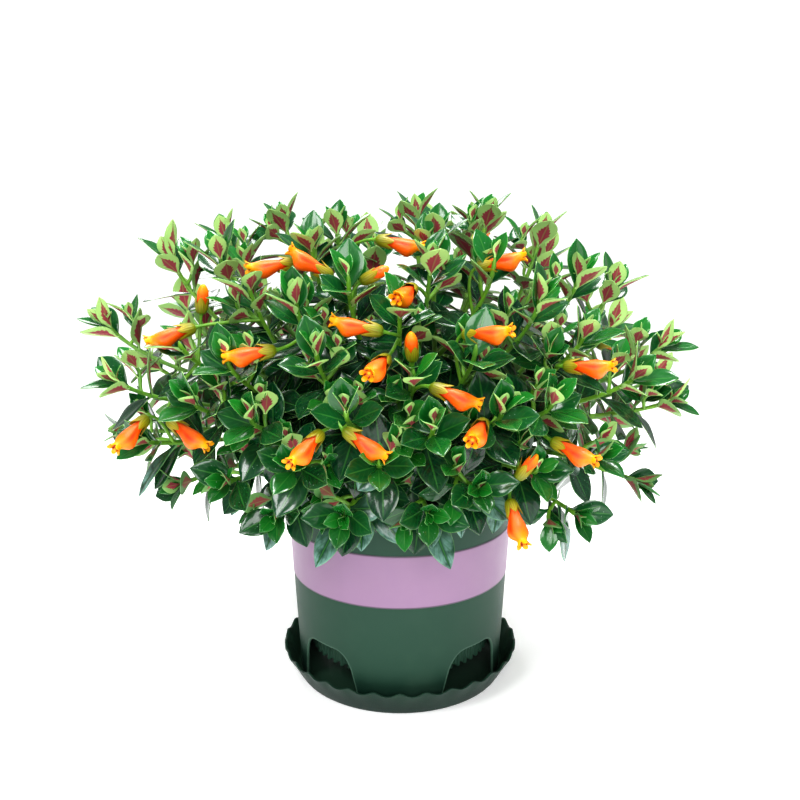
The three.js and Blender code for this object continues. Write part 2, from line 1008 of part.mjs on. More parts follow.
function hasRoom(plant, pose) {
  const outer = new Piece(plant, blade(pose, ROOM));
  const tail = new Piece(plant, blade(pose, 0, OWN_STEM));
  return !placed.some((piece) => (piece.plant === plant ? tail : outer).meets(piece));
}

PAIRS.forEach((pair, rank) => {
  shoots.forEach(({ plant, shoot }) => {
    [rank % 2, 2 + (rank % 2)].forEach((side) => {
      const swing = shoot.draws.between(-VARIATION.swing, VARIATION.swing);
      const opening = pair.opening + shoot.draws.between(-VARIATION.opening, VARIATION.opening);
      const size = pair.size * shoot.draws.between(...VARIATION.size);
      const poses = ESCAPES.map(([turn, open]) =>
        leafPose(shoot, pair, side, swing + turn, opening + open, size),
      );
      const pose = poses.find((candidate) => hasRoom(plant, candidate));
      if (!pose) return;
      placed.push(new Piece(plant, blade(pose)));
      shoot.leaves.push({ pose, rank, side });
    });
  });
});

// The object

const finish = (color, roughness) =>
  new THREE.MeshStandardMaterial({ color, roughness, metalness: 0 });
const MATERIALS = {
  plastic: finish(0x3f5f4d, 0.55),
  soil: finish(0x2b2119, 0.95),
  foliage: finish(0x1f6b33, 0.4),
  petal: finish(0xff6a14, 0.45),
};

function named(name, geometry, material) {
  const mesh = new THREE.Mesh(geometry, material);
  mesh.name = name;
  return mesh;
}

const group = new THREE.Group();
group.add(named('saucer', saucer, MATERIALS.plastic));
group.add(named('pot', pot, MATERIALS.plastic));
group.add(named('soil', soil, MATERIALS.soil));
PLANTS.forEach((_, index) => {
  const own = shoots.filter(({ plant }) => plant === index).map(({ shoot }) => shoot.leafyStem());
  own.push(trunks[index].body);
  own.push(...stalks.filter(({ plant }) => plant === index).map(({ body }) => body));
  const label = String(index + 1).padStart(2, '0');
  const body = outerSkin(geometryOf(join(own)));
  group.add(named(`leafy_plant_${label}`, body, MATERIALS.foliage));
});
flowers.forEach((flower, index) => {
  const label = String(index + 1).padStart(2, '0');
  const name = `${flower.bud ? 'bud' : 'flower'}_${label}`;
  group.add(named(name, weld(flower.corolla()), MATERIALS.petal));
});

export default group;
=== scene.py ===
"""Potted goldfish plant: the dressed model of a bushy house plant with pouched orange flowers.

The plant grows from twelve rooted stems in a green nursery pot, which stands in a saucer with
a scalloped rim. Lengths are in millimetres until a mesh is made, which is in metres. The
front faces -Y, +Z is up, and the origin is the centre of the saucer's underside.
"""

from __future__ import annotations

import logging
import math
from collections.abc import Callable, Iterable, Iterator, Sequence
from dataclasses import dataclass, field
from enum import Enum
from functools import partial
from itertools import product
from operator import itemgetter

import bmesh
import bpy
import numpy as np
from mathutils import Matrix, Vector, noise
from mathutils.kdtree import KDTree

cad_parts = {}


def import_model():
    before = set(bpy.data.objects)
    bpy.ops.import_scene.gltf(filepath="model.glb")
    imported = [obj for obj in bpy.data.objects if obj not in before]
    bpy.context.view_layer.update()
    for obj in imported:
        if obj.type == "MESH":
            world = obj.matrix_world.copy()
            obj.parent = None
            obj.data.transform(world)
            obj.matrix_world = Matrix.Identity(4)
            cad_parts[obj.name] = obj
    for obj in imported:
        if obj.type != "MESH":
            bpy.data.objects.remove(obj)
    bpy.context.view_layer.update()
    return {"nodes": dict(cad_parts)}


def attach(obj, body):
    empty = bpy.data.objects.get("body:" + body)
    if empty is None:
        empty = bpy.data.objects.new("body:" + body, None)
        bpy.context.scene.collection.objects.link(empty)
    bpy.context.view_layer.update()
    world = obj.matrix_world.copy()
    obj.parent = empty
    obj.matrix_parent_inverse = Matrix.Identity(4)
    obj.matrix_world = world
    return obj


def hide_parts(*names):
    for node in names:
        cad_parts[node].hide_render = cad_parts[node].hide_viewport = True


LOG = logging.getLogger("goldfish_plant")
MM = 0.001
UP = np.array([0.0, 0.0, 1.0])
WHITE = (1.0, 1.0, 1.0, 1.0)
BODY = "root"

Array = np.ndarray
Row = tuple[float, ...]
Rows = tuple[Row, ...]
Material = bpy.types.Material


# Numbers and vectors


class Draws:
    """Repeatable draws between 0 and 1."""

    MODULUS = 1 << 32

    def __init__(self, seed: int) -> None:
        """Starts the series that belongs to a seed."""
        self.state = seed
        self.next()

    def next(self) -> float:
        """Returns the next draw."""
        self.state = (self.state * 1664525 + 1013904223) % self.MODULUS
        return self.state / self.MODULUS

    def between(self, low: float, high: float) -> float:
        """Returns a draw between two limits."""
        return low + (high - low) * self.next()


def unit(vector: Array) -> Array:
    """Returns the vector at length 1."""
    return vector / np.linalg.norm(vector)


def lerp(low: float, high: float, share: float) -> float:
    """Returns the value at a share of the way from low to high."""
    return low + (high - low) * share


def smooth(edge_low: float, edge_high: float, value: Array | float) -> Array:
    """Returns a smooth step from 0 at one edge to 1 at the other."""
    t = np.clip((value - edge_low) / (edge_high - edge_low), 0.0, 1.0)
    return t * t * (3.0 - 2.0 * t)


def square_to(vector: Array, axis: Array) -> Array:
    """Returns the unit vector that is square to a unit axis and lies nearest the vector."""
    return unit(vector - axis * np.dot(axis, vector))


def columns(*values: Array | float) -> Array:
    """Returns values side by side along a new last axis."""
    return np.stack(np.broadcast_arrays(*values), axis=-1)


def arc(start: object, hold: object, end: object, t: Array | float) -> Array:
    """Returns places on the arc that leaves its start towards a hold and bends to its end."""
    return (1 - t) ** 2 * start + 2 * t * (1 - t) * hold + t * t * end


def turned_about(vector: Array, axis: Array, degrees: float) -> Array:
    """Turns a vector about an axis.

    Args:
        vector: The vector.
        axis: The unit axis.
        degrees: The angle.

    Returns:
        The turned vector.
    """
    angle = math.radians(degrees)
    along = axis * np.dot(axis, vector) * (1.0 - math.cos(angle))
    return vector * math.cos(angle) + np.cross(axis, vector) * math.sin(angle) + along


def turns(count: int) -> Array:
    """Returns even steps round a full turn, in radians."""
    return np.linspace(0.0, 2.0 * math.pi, count, endpoint=False)


def azimuth_turn(points: Array, degrees: float) -> Array:
    """Turns points about the upright axis.

    Args:
        points: Rows of x, y and z.
        degrees: The angle, from the front (-Y) towards +X.

    Returns:
        The turned points.
    """
    angle = math.radians(degrees)
    cos, sin = math.cos(angle), math.sin(angle)
    turn = np.array([[cos, -sin, 0.0], [sin, cos, 0.0], [0.0, 0.0, 1.0]])
    return points @ turn.T


def linear(red: int, green: int, blue: int) -> Row:
    """Returns the linear colour and alpha of a display colour, given in shares of 255."""
    shares = (channel / 255.0 for channel in (red, green, blue))
    return (*(s / 12.92 if s <= 0.04045 else ((s + 0.055) / 1.055) ** 2.4 for s in shares), 1.0)


# Shaders


def maths(operation: str, wire_last: bool = False) -> Callable[..., Wire]:
    """Makes a method of Wire that adds a Math node.

    Args:
        operation: What the node does.
        wire_last: True if the wire itself comes after the other value.

    Returns:
        The method, which takes the node's other values and returns the wire from it.
    """

    def method(self: Wire, *others: Wire | float) -> Wire:
        """Adds the node."""
        values = (*others, self) if wire_last else (self, *others)
        return self.shader.node("ShaderNodeMath", {"operation": operation}, dict(enumerate(values)))

    return method


@dataclass(frozen=True)
class Wire:
    """A node's output that takes part in sums, so that shader maths reads as it is written."""

    shader: Graph
    socket: bpy.types.NodeSocket

    __add__ = __radd__ = maths("ADD")
    __sub__ = maths("SUBTRACT")
    __rsub__ = maths("SUBTRACT", wire_last=True)
    __mul__ = __rmul__ = maths("MULTIPLY")
    __truediv__ = maths("DIVIDE")
    __pow__ = maths("POWER")
    __abs__ = maths("ABSOLUTE")
    sine = maths("SINE")
    least = maths("MINIMUM")
    most = maths("MAXIMUM")

    def step(self, low: float, high: float) -> Wire:
        """Adds a smooth step.

        Args:
            low: Where it is 0.
            high: Where it is 1, which may be the lesser value.

        Returns:
            The step.
        """
        settings = {"interpolation_type": "SMOOTHSTEP"}
        if low > high:
            return 1.0 - self.step(high, low)
        inputs = {"Value": self, "From Min": low, "From Max": high}
        return self.shader.node("ShaderNodeMapRange", settings, inputs)


class Graph:
    """A node tree in the making."""

    def __init__(self, tree: bpy.types.NodeTree) -> None:
        """Takes the tree that nodes are added to."""
        self.tree = tree

    def node(
        self,
        kind: str,
        settings: dict[str, object],
        inputs: dict[int | str, object],
        output: int | str = 0,
    ) -> Wire:
        """Adds a node.

        Args:
            kind: The node's type.
            settings: Its properties, set first.
            inputs: Values or wires by the name or number of each socket.
            output: The socket that is handed back.

        Returns:
            The wire from that output.
        """
        made = self.tree.nodes.new(kind)
        for name, value in settings.items():
            setattr(made, name, value)
        for key, value in inputs.items():
            self.feed(made.inputs[key], value)
        return Wire(self, made.outputs[output])

    def feed(self, socket: bpy.types.NodeSocket, value: object) -> None:
        """Links a wire to a socket, or sets the socket's own value.

        Args:
            socket: The socket.
            value: A wire, or a value that the socket can hold.
        """
        if isinstance(value, Wire):
            self.tree.links.new(value.socket, socket)
        else:
            socket.default_value = value

    def parts(self, vector: Wire) -> tuple[Wire, Wire, Wire]:
        """Returns the three coordinates of a vector."""
        split = self.node("ShaderNodeSeparateXYZ", {}, {0: vector}).socket.node
        return tuple(Wire(self, split.outputs[axis]) for axis in "XYZ")


class Shader(Graph):
    """A material in the making."""

    def __init__(self, name: str) -> None:
        """Starts a material with its Principled surface.

        Args:
            name: The material's name.
        """
        self.material = bpy.data.materials.new(name)
        self.material.use_nodes = True
        super().__init__(self.material.node_tree)
        self.surface = self.tree.nodes["Principled BSDF"]

    def carried(self, name: str) -> tuple[Wire, Wire, Wire]:
        """Returns the three numbers that the mesh carries at its corners under a name."""
        settings = {"attribute_name": name}
        return self.parts(self.node("ShaderNodeAttribute", settings, {}, "Vector"))

    def place(self) -> Wire:
        """Returns the place on the object in metres."""
        return self.node("ShaderNodeTexCoord", {}, {}, "Object")

    def heights(self) -> tuple[Wire, Wire, Wire]:
        """Returns the three coordinates of the place on the object."""
        return self.parts(self.place())

    def stretched(self, scale: Row) -> Wire:
        """Returns the place on the object with each axis scaled."""
        settings = {"operation": "MULTIPLY"}
        return self.node("ShaderNodeVectorMath", settings, {0: self.place(), 1: scale})

    def vector(self, x: Wire | float, y: Wire | float, z: Wire | float) -> Wire:
        """Returns a vector of three numbers."""
        return self.node("ShaderNodeCombineXYZ", {}, {"X": x, "Y": y, "Z": z})

    def cloud(self, scale: float, detail: float = 3.0, at: Wire | None = None) -> Wire:
        """Returns soft noise between 0 and 1, with its scale in waves a metre."""
        inputs = {"Vector": at or self.place(), "Scale": scale, "Detail": detail}
        return self.node("ShaderNodeTexNoise", {}, inputs, "Fac")

    def cells(self, scale: float) -> Wire:
        """Returns the distance from the middle of scattered cells."""
        inputs = {"Vector": self.place(), "Scale": scale}
        return self.node("ShaderNodeTexVoronoi", {}, inputs, "Distance")

    def blend(self, colour: object, *coats: tuple[object, Wire | float]) -> Wire:
        """Lays coats over a colour.

        Args:
            colour: The colour below.
            *coats: Each further colour, with the share that it covers.

        Returns:
            The colour.
        """
        settings = {"data_type": "RGBA", "clamp_factor": True}
        for coat, share in coats:
            colour = self.node("ShaderNodeMix", settings, {0: share, 6: colour, 7: coat}, 2)
        return colour

    def finish(
        self,
        colour: object,
        roughness: Wire | float,
        relief: Wire | None = None,
        depth: float = 0.0,
        **sockets: Wire | float,
    ) -> Material:
        """Feeds the surface.

        Args:
            colour: Its base colour.
            roughness: Its roughness.
            relief: Height for the bump, from 0 to 1.
            depth: The bump's depth in millimetres.
            **sockets: Other sockets by name, with underscores for spaces.

        Returns:
            The finished material.
        """
        self.feed(self.surface.inputs["Base Color"], colour)
        self.feed(self.surface.inputs["Roughness"], roughness)
        if relief is not None:
            inputs = {"Height": relief, "Distance": depth * MM, "Strength": 1.0}
            normal = self.node("ShaderNodeBump", {}, inputs, "Normal")
            self.feed(self.surface.inputs["Normal"], normal)
        for name, value in sockets.items():
            self.feed(self.surface.inputs[name.replace("_", " ")], value)
        return self.material


# Meshes


@dataclass
class Skin:
    """A mesh in the making, with three numbers carried at each corner under each name."""

    points: list[Array] = field(default_factory=list)
    faces: list[tuple[int, ...]] = field(default_factory=list)
    finishes: list[int] = field(default_factory=list)
    notes: dict[str, list[tuple[int, Array]]] = field(default_factory=dict)
    count: int = 0

    def add(
        self, points: Array, faces: Sequence[Sequence[int]], finish: int = 0, **notes: object
    ) -> None:
        """Adds corners and the faces between them.

        Args:
            points: The corners, in millimetres.
            faces: Rows of corner numbers.
            finish: The number of their material.
            **notes: What the corners carry under each name: three numbers, or three a corner.
        """
        points = points.reshape(-1, 3)
        for name, values in notes.items():
            rows = np.broadcast_to(np.asarray(values, float).reshape(-1, 3), points.shape)
            self.notes.setdefault(name, []).append((self.count, rows))
        self.points.append(points)
        self.faces.extend(tuple(corner + self.count for corner in face) for face in faces)
        self.finishes.extend([finish] * len(faces))
        self.count += len(points)

    def add_rings(
        self, rings: Array, finish: int = 0, looped: bool = False, **notes: object
    ) -> None:
        """Adds rings of corners with quads between them, and closes both ends.

        Args:
            rings: The corners, by ring and by place on the ring.
            finish: The number of their material.
            looped: True if the last ring joins the first, so that there are no ends.
            **notes: What the corners carry.
        """
        sides = rings.shape[1]
        corners = range(len(rings) * sides)
        faces = loft_faces(len(rings), sides, looped).tolist()
        if not looped:
            faces += [corners[:sides][::-1], corners[-sides:]]
        self.add(rings, faces, finish, **notes)

    def add_sheet(self, rings: Array, finish: int, **notes: object) -> None:
        """Adds a thin sheet and closes its two ends.

        Args:
            rings: The corners, by station, as both_faces gives them.
            finish: The number of their material.
            **notes: What the corners carry.
        """
        stations, sides = rings.shape[:2]
        start = [[i, sides - 1 - i, sides - 2 - i, i + 1] for i in range(sides // 2 - 1)]
        end = np.array(start)[:, ::-1] + (stations - 1) * sides
        faces = loft_faces(stations, sides).tolist() + start + end.tolist()
        self.add(rings, faces, finish, **notes)

    def made(
        self, name: str, finishes: Iterable[Material], crease: float = 40.0
    ) -> bpy.types.Object:
        """Makes the object.

        Args:
            name: Its name.
            finishes: Its materials, by the numbers that the faces were given.
            crease: Edges that bend by more degrees than this stay sharp.

        Returns:
            The object, linked to the scene and smoothly shaded.
        """
        mesh = bpy.data.meshes.new(name)
        mesh.from_pydata(np.concatenate(self.points) * MM, [], self.faces)
        for material in finishes:
            mesh.materials.append(material)
        mesh.polygons.foreach_set("material_index", self.finishes)
        for note, parts in self.notes.items():
            values = np.zeros((self.count, 3), np.float32)
            for start, rows in parts:
                values[start : start + len(rows)] = rows
            carried = mesh.attributes.new(note, "FLOAT_VECTOR", "POINT")
            carried.data.foreach_set("vector", values.ravel())
        mesh.update()
        mesh.shade_smooth()
        mesh.set_sharp_from_angle(angle=math.radians(crease))
        return linked(name, mesh)


def linked(name: str, data: bpy.types.ID) -> bpy.types.Object:
    """Adds an object to the scene.

    Args:
        name: Its name.
        data: Its mesh, light or camera.

    Returns:
        The object.
    """
    made = bpy.data.objects.new(name, data)
    bpy.context.scene.collection.objects.link(made)
    return made


def loft_faces(rings: int, count: int, looped: bool = False) -> Array:
    """Returns the quads between rings of corners, each ring closed on itself.

    Args:
        rings: How many rings there are.
        count: Corners in each ring.
        looped: True if the last ring joins the first.

    Returns:
        Rows of four corner numbers.
    """
    spans = np.arange(rings if looped else rings - 1)
    ring, i = np.meshgrid(spans, np.arange(count), indexing="ij")
    here, following = ring * count, (ring + 1) % rings * count
    ahead = (i + 1) % count
    corners = [here + i, here + ahead, following + ahead, following + i]
    return np.stack(corners, axis=-1).reshape(-1, 4)


def both_faces(upper: Array, lower: Array) -> Array:
    """Returns rows that run over a sheet's upper face and back under its lower one."""
    return np.concatenate([upper, lower[:, ::-1]], axis=1)


@dataclass(frozen=True)
class Tube:
    """A round tube along a path, with a radius at each of its points."""

    path: Array
    radii: Array
    sides: int = 8

    def rings(self) -> Array:
        """Returns the rings of corners, each square to the path and turned as little as can be."""
        steps = np.gradient(self.path, axis=0)
        steps /= np.linalg.norm(steps, axis=1)[:, None]
        across = unit(np.cross(steps[0], UP if abs(steps[0][2]) < 0.9 else [1.0, 0.0, 0.0]))
        angles = turns(self.sides)
        rings = []
        for place, along, radius in zip(self.path, steps, self.radii):
            across = square_to(across, along)
            lift = np.cross(along, across)
            circle = np.outer(np.cos(angles), across) + np.outer(np.sin(angles), lift)
            rings.append(place + radius * circle)
        return np.array(rings)

    def put(self, skin: Skin, finish: int, note: str, values: Array) -> None:
        """Adds the closed tube to a skin.

        Args:
            skin: What it is added to.
            finish: The number of its material.
            note: The name of what its corners carry.
            values: Three numbers for each point of the path.
        """
        rings = self.rings()
        carried = np.repeat(np.broadcast_to(values, (len(rings), 3)), self.sides, axis=0)
        skin.add_rings(rings, finish, **{note: carried})


def lathed(profile: Sequence[Sequence[float]], sides: int) -> Array:
    """Turns a profile about the upright axis.

    Args:
        profile: Rows of radius and height, which run outwards below and inwards above.
        sides: Steps round the axis.

    Returns:
        Rings of corners, one for each row.
    """
    radius, height = np.array(profile).T[..., None]
    azimuths = turns(sides)
    x = radius * np.sin(azimuths)
    return columns(x, -radius * np.cos(azimuths), height)


def rounded(corners: Sequence[Row], steps: int = 5) -> Array:
    """Rounds the corners of an open line.

    Args:
        corners: Rows of x, y and the length that the rounding takes from each side.
        steps: Points on each rounding.

    Returns:
        Rows of x and y.
    """
    line = []
    for i, (x, y, size) in enumerate(corners):
        here = np.array([x, y])
        if size <= 0.0 or i in (0, len(corners) - 1):
            line.append(here)
            continue
        back = here + unit(np.array(corners[i - 1][:2]) - here) * size
        ahead = here + unit(np.array(corners[i + 1][:2]) - here) * size
        line.extend(arc(back, here, ahead, t) for t in np.linspace(0.0, 1.0, steps))
    return np.array(line)


def dense(line: Array, step: float) -> Array:
    """Adds points to a line.

    Args:
        line: Rows of coordinates.
        step: The farthest that neighbours may lie apart.

    Returns:
        The rows with others between them.
    """
    points = [line[0]]
    for start, end in zip(line[:-1], line[1:]):
        parts = max(1, math.ceil(float(np.linalg.norm(end - start)) / step))
        points.extend(start + (end - start) * share / parts for share in range(1, parts + 1))
    return np.array(points)


# Finishes


@dataclass(frozen=True)
class NurseryPlastic:
    """Matte dark green moulded plastic, darker and bluer towards the ground as painted shade.

    A corner may carry how far it lies inside, which gives it the inner colour, how far it is
    lifted out of the painted shade, and how much painted highlight it gets.
    """

    upper: Row = linear(36, 67, 53)
    # The colour of the painted shade towards the ground.
    lower: Row = linear(9, 36, 28)
    inner: Row = linear(38, 66, 51)
    dust: Row = linear(66, 92, 76)
    # The colour of the painted highlight on the slot lips and the comb.
    painted_highlight: Row = linear(104, 134, 116)
    shade_height: float = 0.03
    roughness: float = 0.5

    def material(self) -> Material:
        """Returns the material."""
        shader = Shader("nursery_plastic")
        _, _, height = shader.heights()
        inside, painted_shade_lift, painted_highlight = shader.carried("plastic_place")
        mottle = shader.cloud(45.0)
        # Painted shade: below shade_height the plastic turns to the lower colour, unless a corner
        # is lifted out of it.
        colour = shader.blend(
            self.lower,
            (self.upper, height.step(0.002, self.shade_height).most(painted_shade_lift)),
            (self.dust, mottle.step(0.45, 0.8) * 0.16),
            (self.inner, inside * 0.9),
            # Painted highlight, as much as a corner carries.
            (self.painted_highlight, painted_highlight),
        )
        flow = shader.cloud(120.0, 2.0, shader.stretched((1.0, 1.0, 0.12)))
        relief = shader.cloud(2600.0, 2.0) * 0.5 + flow * 0.5
        roughness = self.roughness + (mottle - 0.5) * 0.18
        return shader.finish(colour, roughness, relief, 0.12, Specular_IOR_Level=0.25)


@dataclass(frozen=True)
class PinkPrint:
    """A plain lilac-pink printed band with thin dark edge lines."""

    ink: Row = linear(142, 112, 142)
    faded: Row = linear(134, 106, 140)
    line: Row = linear(66, 62, 70)
    line_heights: Row = (0.0662, 0.0978)
    line_width: float = 0.0008

    def material(self) -> Material:
        """Returns the material."""
        shader = Shader("pink_print")
        _, _, height = shader.heights()
        edges = (self.line_width, self.line_width * 0.4)
        low, high = (abs(height - level).step(*edges) for level in self.line_heights)
        mottle = shader.cloud(90.0, 4.0)
        faded = (self.faded, mottle.step(0.3, 0.8) * 0.2)
        colour = shader.blend(self.ink, faded, (self.line, low.most(high) * 0.8))
        roughness = 0.42 + (mottle - 0.5) * 0.15
        return shader.finish(colour, roughness, shader.cloud(2600.0, 2.0), 0.05)


@dataclass(frozen=True)
class PottingSoil:
    """Dark crumbly soil with paler fibres."""

    dark: Row = linear(38, 28, 22)
    pale: Row = linear(96, 74, 54)

    def material(self) -> Material:
        """Returns the material."""
        shader = Shader("potting_soil")
        patches = shader.cloud(60.0, 5.0)
        fibres = shader.cloud(900.0, 2.0, shader.stretched((1.0, 0.15, 1.0)))
        share = (patches.step(0.4, 0.75) * 0.6 + fibres.step(0.62, 0.72) * 0.5).least(1.0)
        relief = shader.cells(420.0) * 0.7 + shader.cloud(1500.0) * 0.3
        colour = shader.blend(self.dark, (self.pale, share))
        return shader.finish(colour, 0.93 - fibres * 0.1, relief, 1.2)


@dataclass(frozen=True)
class LeafWax:
    """Thick waxy leaf: deep green above with a paler midrib, lime and maroon below.

    A corner carries the place along the blade (0 to 1), the place across it (-1 to 1) and
    its face (1 above, -1 below), and then the leaf's age, tint and blush. Past the age of 1 a
    leaf gets a painted silvery sheen, which stands in for a reflection of light.
    """

    deep: Row = linear(2, 38, 24)
    full: Row = linear(6, 66, 34)
    young: Row = linear(26, 114, 32)
    under: Row = linear(190, 230, 140)
    under_old: Row = linear(78, 134, 78)
    maroon: Row = linear(160, 36, 74)
    rib: Row = linear(60, 128, 50)
    under_rib: Row = linear(150, 176, 92)
    # The colour of the margin line: partly the leaf's own lime edge, partly a painted highlight.
    margin: Row = linear(122, 178, 98)
    # The colour of the painted silvery sheen, standing in for a reflection, on old hanging leaves.
    bloom: Row = linear(138, 182, 172)
    speck: Row = linear(140, 176, 150)

    def material(self) -> Material:
        """Returns the material."""
        shader = Shader("leaf_wax")
        along, across, face = shader.carried("leaf_place")
        age, tint, blush = shader.carried("leaf_kind")
        aside = abs(across)
        mottle = shader.cloud(160.0, 3.0)
        # Side veins run forward from the midrib, in pairs.
        sweep = along * 46.0 - aside * 15.0
        veins = (sweep.sine() * 0.5 + 0.5) ** 6.0 * aside.step(0.04, 0.3) * aside.step(1.0, 0.7)
        rib = aside.step(0.085, 0.03) * along.step(1.0, 0.86)
        # A painted silvery sheen, standing in for a reflection, on the outer part of old hanging
        # leaves.
        painted_sheen = along.step(0.25, 0.95) * aside.step(0.02, 0.3) * mottle.step(0.25, 0.7)
        painted_sheen = painted_sheen * tint.step(0.1, 0.8) * (0.8 - veins * 0.3)
        specks = shader.cells(430.0).step(0.15, 0.08) * abs(tint - 0.5).step(0.3, 0.36)
        above = shader.blend(
            self.deep,
            (self.full, tint * 0.7 + mottle.step(0.35, 0.7) * 0.3),
            (self.young, age.step(0.75, 0.05) * 0.85),
            (self.bloom, painted_sheen * age.step(1.0, 1.3)),
            (self.speck, specks * 0.5),
            (self.rib, (rib * 0.45 + veins * 0.1).least(1.0)),
        )
        # The maroon patch is feathered out along the veins and keeps the midrib green.
        feather = (sweep.sine() * 0.13 + shader.cloud(260.0, 3.0) * 0.4) - 0.2
        reach = aside / ((along.step(-0.02, 0.42) * along.step(0.92, 0.42)) * 0.56 + 0.02)
        patch = (reach + feather).step(1.04, 0.84) * blush.step(0.2, 0.6)
        below = shader.blend(
            self.under_old,
            (self.under, blush.step(0.3, 1.05)),
            (self.maroon, patch * 0.94),
            (self.under_rib, rib * 0.35),
        )
        upper = face.step(-0.2, 0.2)
        # A paler line along the margins, partly the leaf's own lime edge and partly a painted
        # highlight of the rolled margin.
        margin = aside.step(0.9, 1.0) * along.step(0.1, 0.3)
        colour = shader.blend(below, (above, upper), (self.margin, margin * 0.28))
        relief = 0.5 - rib * 0.4 + veins * 0.06 + shader.cloud(2200.0, 2.0) * 0.03
        relief = relief + shader.cloud(420.0, 2.0) * 0.05
        roughness = 0.17 + mottle * 0.13 + face.step(0.2, -0.2) * 0.35
        # The underside is matt, and old leaves lose some of their gloss.
        gloss = {"Coat_Weight": upper * (0.42 - age.step(1.0, 1.3) * 0.24), "Coat_Roughness": 0.06}
        sheen = {"IOR": 1.46, "Specular_IOR_Level": 0.36}
        return shader.finish(colour, roughness, relief, 0.2, **gloss, **sheen)


@dataclass(frozen=True)
class StemSkin:
    """Juicy lime stems that turn brown and woody towards the soil.

    A corner carries its woodiness (0 to 1) and its tint.
    """

    lime: Row = linear(112, 164, 44)
    green: Row = linear(62, 112, 40)
    bark: Row = linear(92, 66, 40)
    furrow: Row = linear(58, 44, 30)

    def material(self) -> Material:
        """Returns the material."""
        shader = Shader("stem_skin")
        wood, tint, _ = shader.carried("stem_place")
        streaks = shader.cloud(500.0, 3.0, shader.stretched((1.0, 1.0, 0.2)))
        greener = (self.green, tint * 0.6 + streaks.step(0.4, 0.7) * 0.4)
        bark = shader.blend(self.bark, (self.furrow, streaks.step(0.4, 0.62)))
        share = (wood + (streaks - 0.5) * 0.3).step(0.45, 0.8)
        relief = streaks * 0.6 + shader.cloud(1800.0, 2.0) * 0.4
        colour = shader.blend(self.lime, greener, (bark, share))
        return shader.finish(colour, 0.4 + share * 0.4, relief, 0.25)


@dataclass(frozen=True)
class SepalSkin:
    """Olive-green sepals with brown lines, paler and yellower towards their tips.

    A corner carries the place along the sepal, the place across it and a tint.
    """

    base: Row = linear(98, 120, 4)
    tip: Row = linear(172, 152, 6)
    lines: Row = linear(122, 78, 20)

    def material(self) -> Material:
        """Returns the material."""
        shader = Shader("sepal_skin")
        along, across, tint = shader.carried("sepal_place")
        streak = (across * 13.0 + shader.cloud(700.0, 2.0) * 2.0).sine() * 0.5 + 0.5
        paler = (self.tip, along.step(0.1, 0.95) * 0.8 + tint * 0.2)
        share = streak.step(0.55, 0.95) * along.step(0.02, 0.3) * 0.55
        margin = abs(across).step(0.78, 1.0) * 0.45
        colour = shader.blend(self.base, paler, (self.lines, share.most(margin)))
        relief = streak * 0.5 + shader.cloud(2400.0, 2.0) * 0.3
        return shader.finish(colour, 0.48 + share * 0.1, relief, 0.15)


@dataclass(frozen=True)
class PetalSkin:
    """Satin petals: orange-red at the base, orange on the pouch and yellow at the mouth.

    A corner carries the place along the flower (0 to 1), the height round it (-1 below, 1
    above) and how far it is inside; then how deep it lies in a notch, the flower's tint and
    how deep it lies in the crease.
    """

    root: Row = linear(240, 66, 6)
    pouch: Row = linear(248, 98, 6)
    neck: Row = linear(246, 132, 4)
    lobe: Row = linear(246, 166, 8)
    # The deeper red of the painted shade in the crease.
    crease: Row = linear(214, 36, 4)
    # The pale colour of the painted highlight along the top of the flower.
    blush: Row = linear(255, 150, 92)
    throat: Row = linear(232, 122, 10)
    spot: Row = linear(128, 14, 8)
    knob: Row = linear(248, 182, 36)

    def material(self) -> Material:
        """Returns the material."""
        shader = Shader("petal_skin")
        along, height, inside = shader.carried("petal_place")
        notch, tint, fold = shader.carried("petal_kind")
        mottle = shader.cloud(240.0, 3.0)
        streaks = shader.cloud(800.0, 2.0, shader.vector(along * 0.02, height, 0.0))
        drift = along + (mottle - 0.5) * 0.08 + (tint - 0.5) * 0.06
        colour = shader.blend(
            self.root,
            (self.pouch, drift.step(0.15, 0.6)),
            (self.neck, drift.step(0.66, 0.86)),
            (self.lobe, drift.step(0.84, 0.95)),
            # Painted shade: deeper red in the crease groove, with a few real streaks.
            (self.crease, (fold * 0.85 + streaks.step(0.5, 0.75) * 0.12).least(1.0)),
            # Painted highlight: paler along the top of the pouch.
            (self.blush, height.step(0.55, 0.95) * drift.step(0.8, 0.5) * 0.22),
            (self.throat, inside.step(0.2, 0.9)),
            (self.spot, notch.step(0.25, 0.6) * along.step(0.84, 0.9) * 0.95),
            (self.knob, inside.step(1.2, 1.9)),
        )
        relief = streaks * 0.5 + shader.cloud(1600.0, 2.0) * 0.3
        depth = {"Subsurface_Weight": 0.08, "Subsurface_Scale": 0.003}
        return shader.finish(colour, 0.28 + mottle * 0.14, relief, 0.12, IOR=1.4, **depth)


@dataclass(frozen=True)
class Kit:
    """The finishes, made once."""

    plastic: Material
    ink: Material
    soil: Material
    leaf: Material
    stem: Material
    sepal: Material
    petal: Material

    @classmethod
    def made(cls) -> Kit:
        """Returns the finishes as materials."""
        makers = (NurseryPlastic, PinkPrint, PottingSoil, LeafWax, StemSkin, SepalSkin, PetalSkin)
        return cls(*(maker().material() for maker in makers))


# How the plant grows


@dataclass(frozen=True)
class Habit:
    """How shoots fork, bend and carry their leaf pairs."""

    centre: Row = (-8.0, 5.0, 165.0)
    half_axes: Row = (162.0, 122.0, 106.0)
    first_fork: float = 132.0
    reach: float = 0.35
    rise: float = 0.9
    lift: float = 0.3
    twist: float = 25.0
    samples: int = 24
    root_length: float = 5.0
    ring_step: float = 44.0
    node_height: float = 1.8


HABIT = Habit()


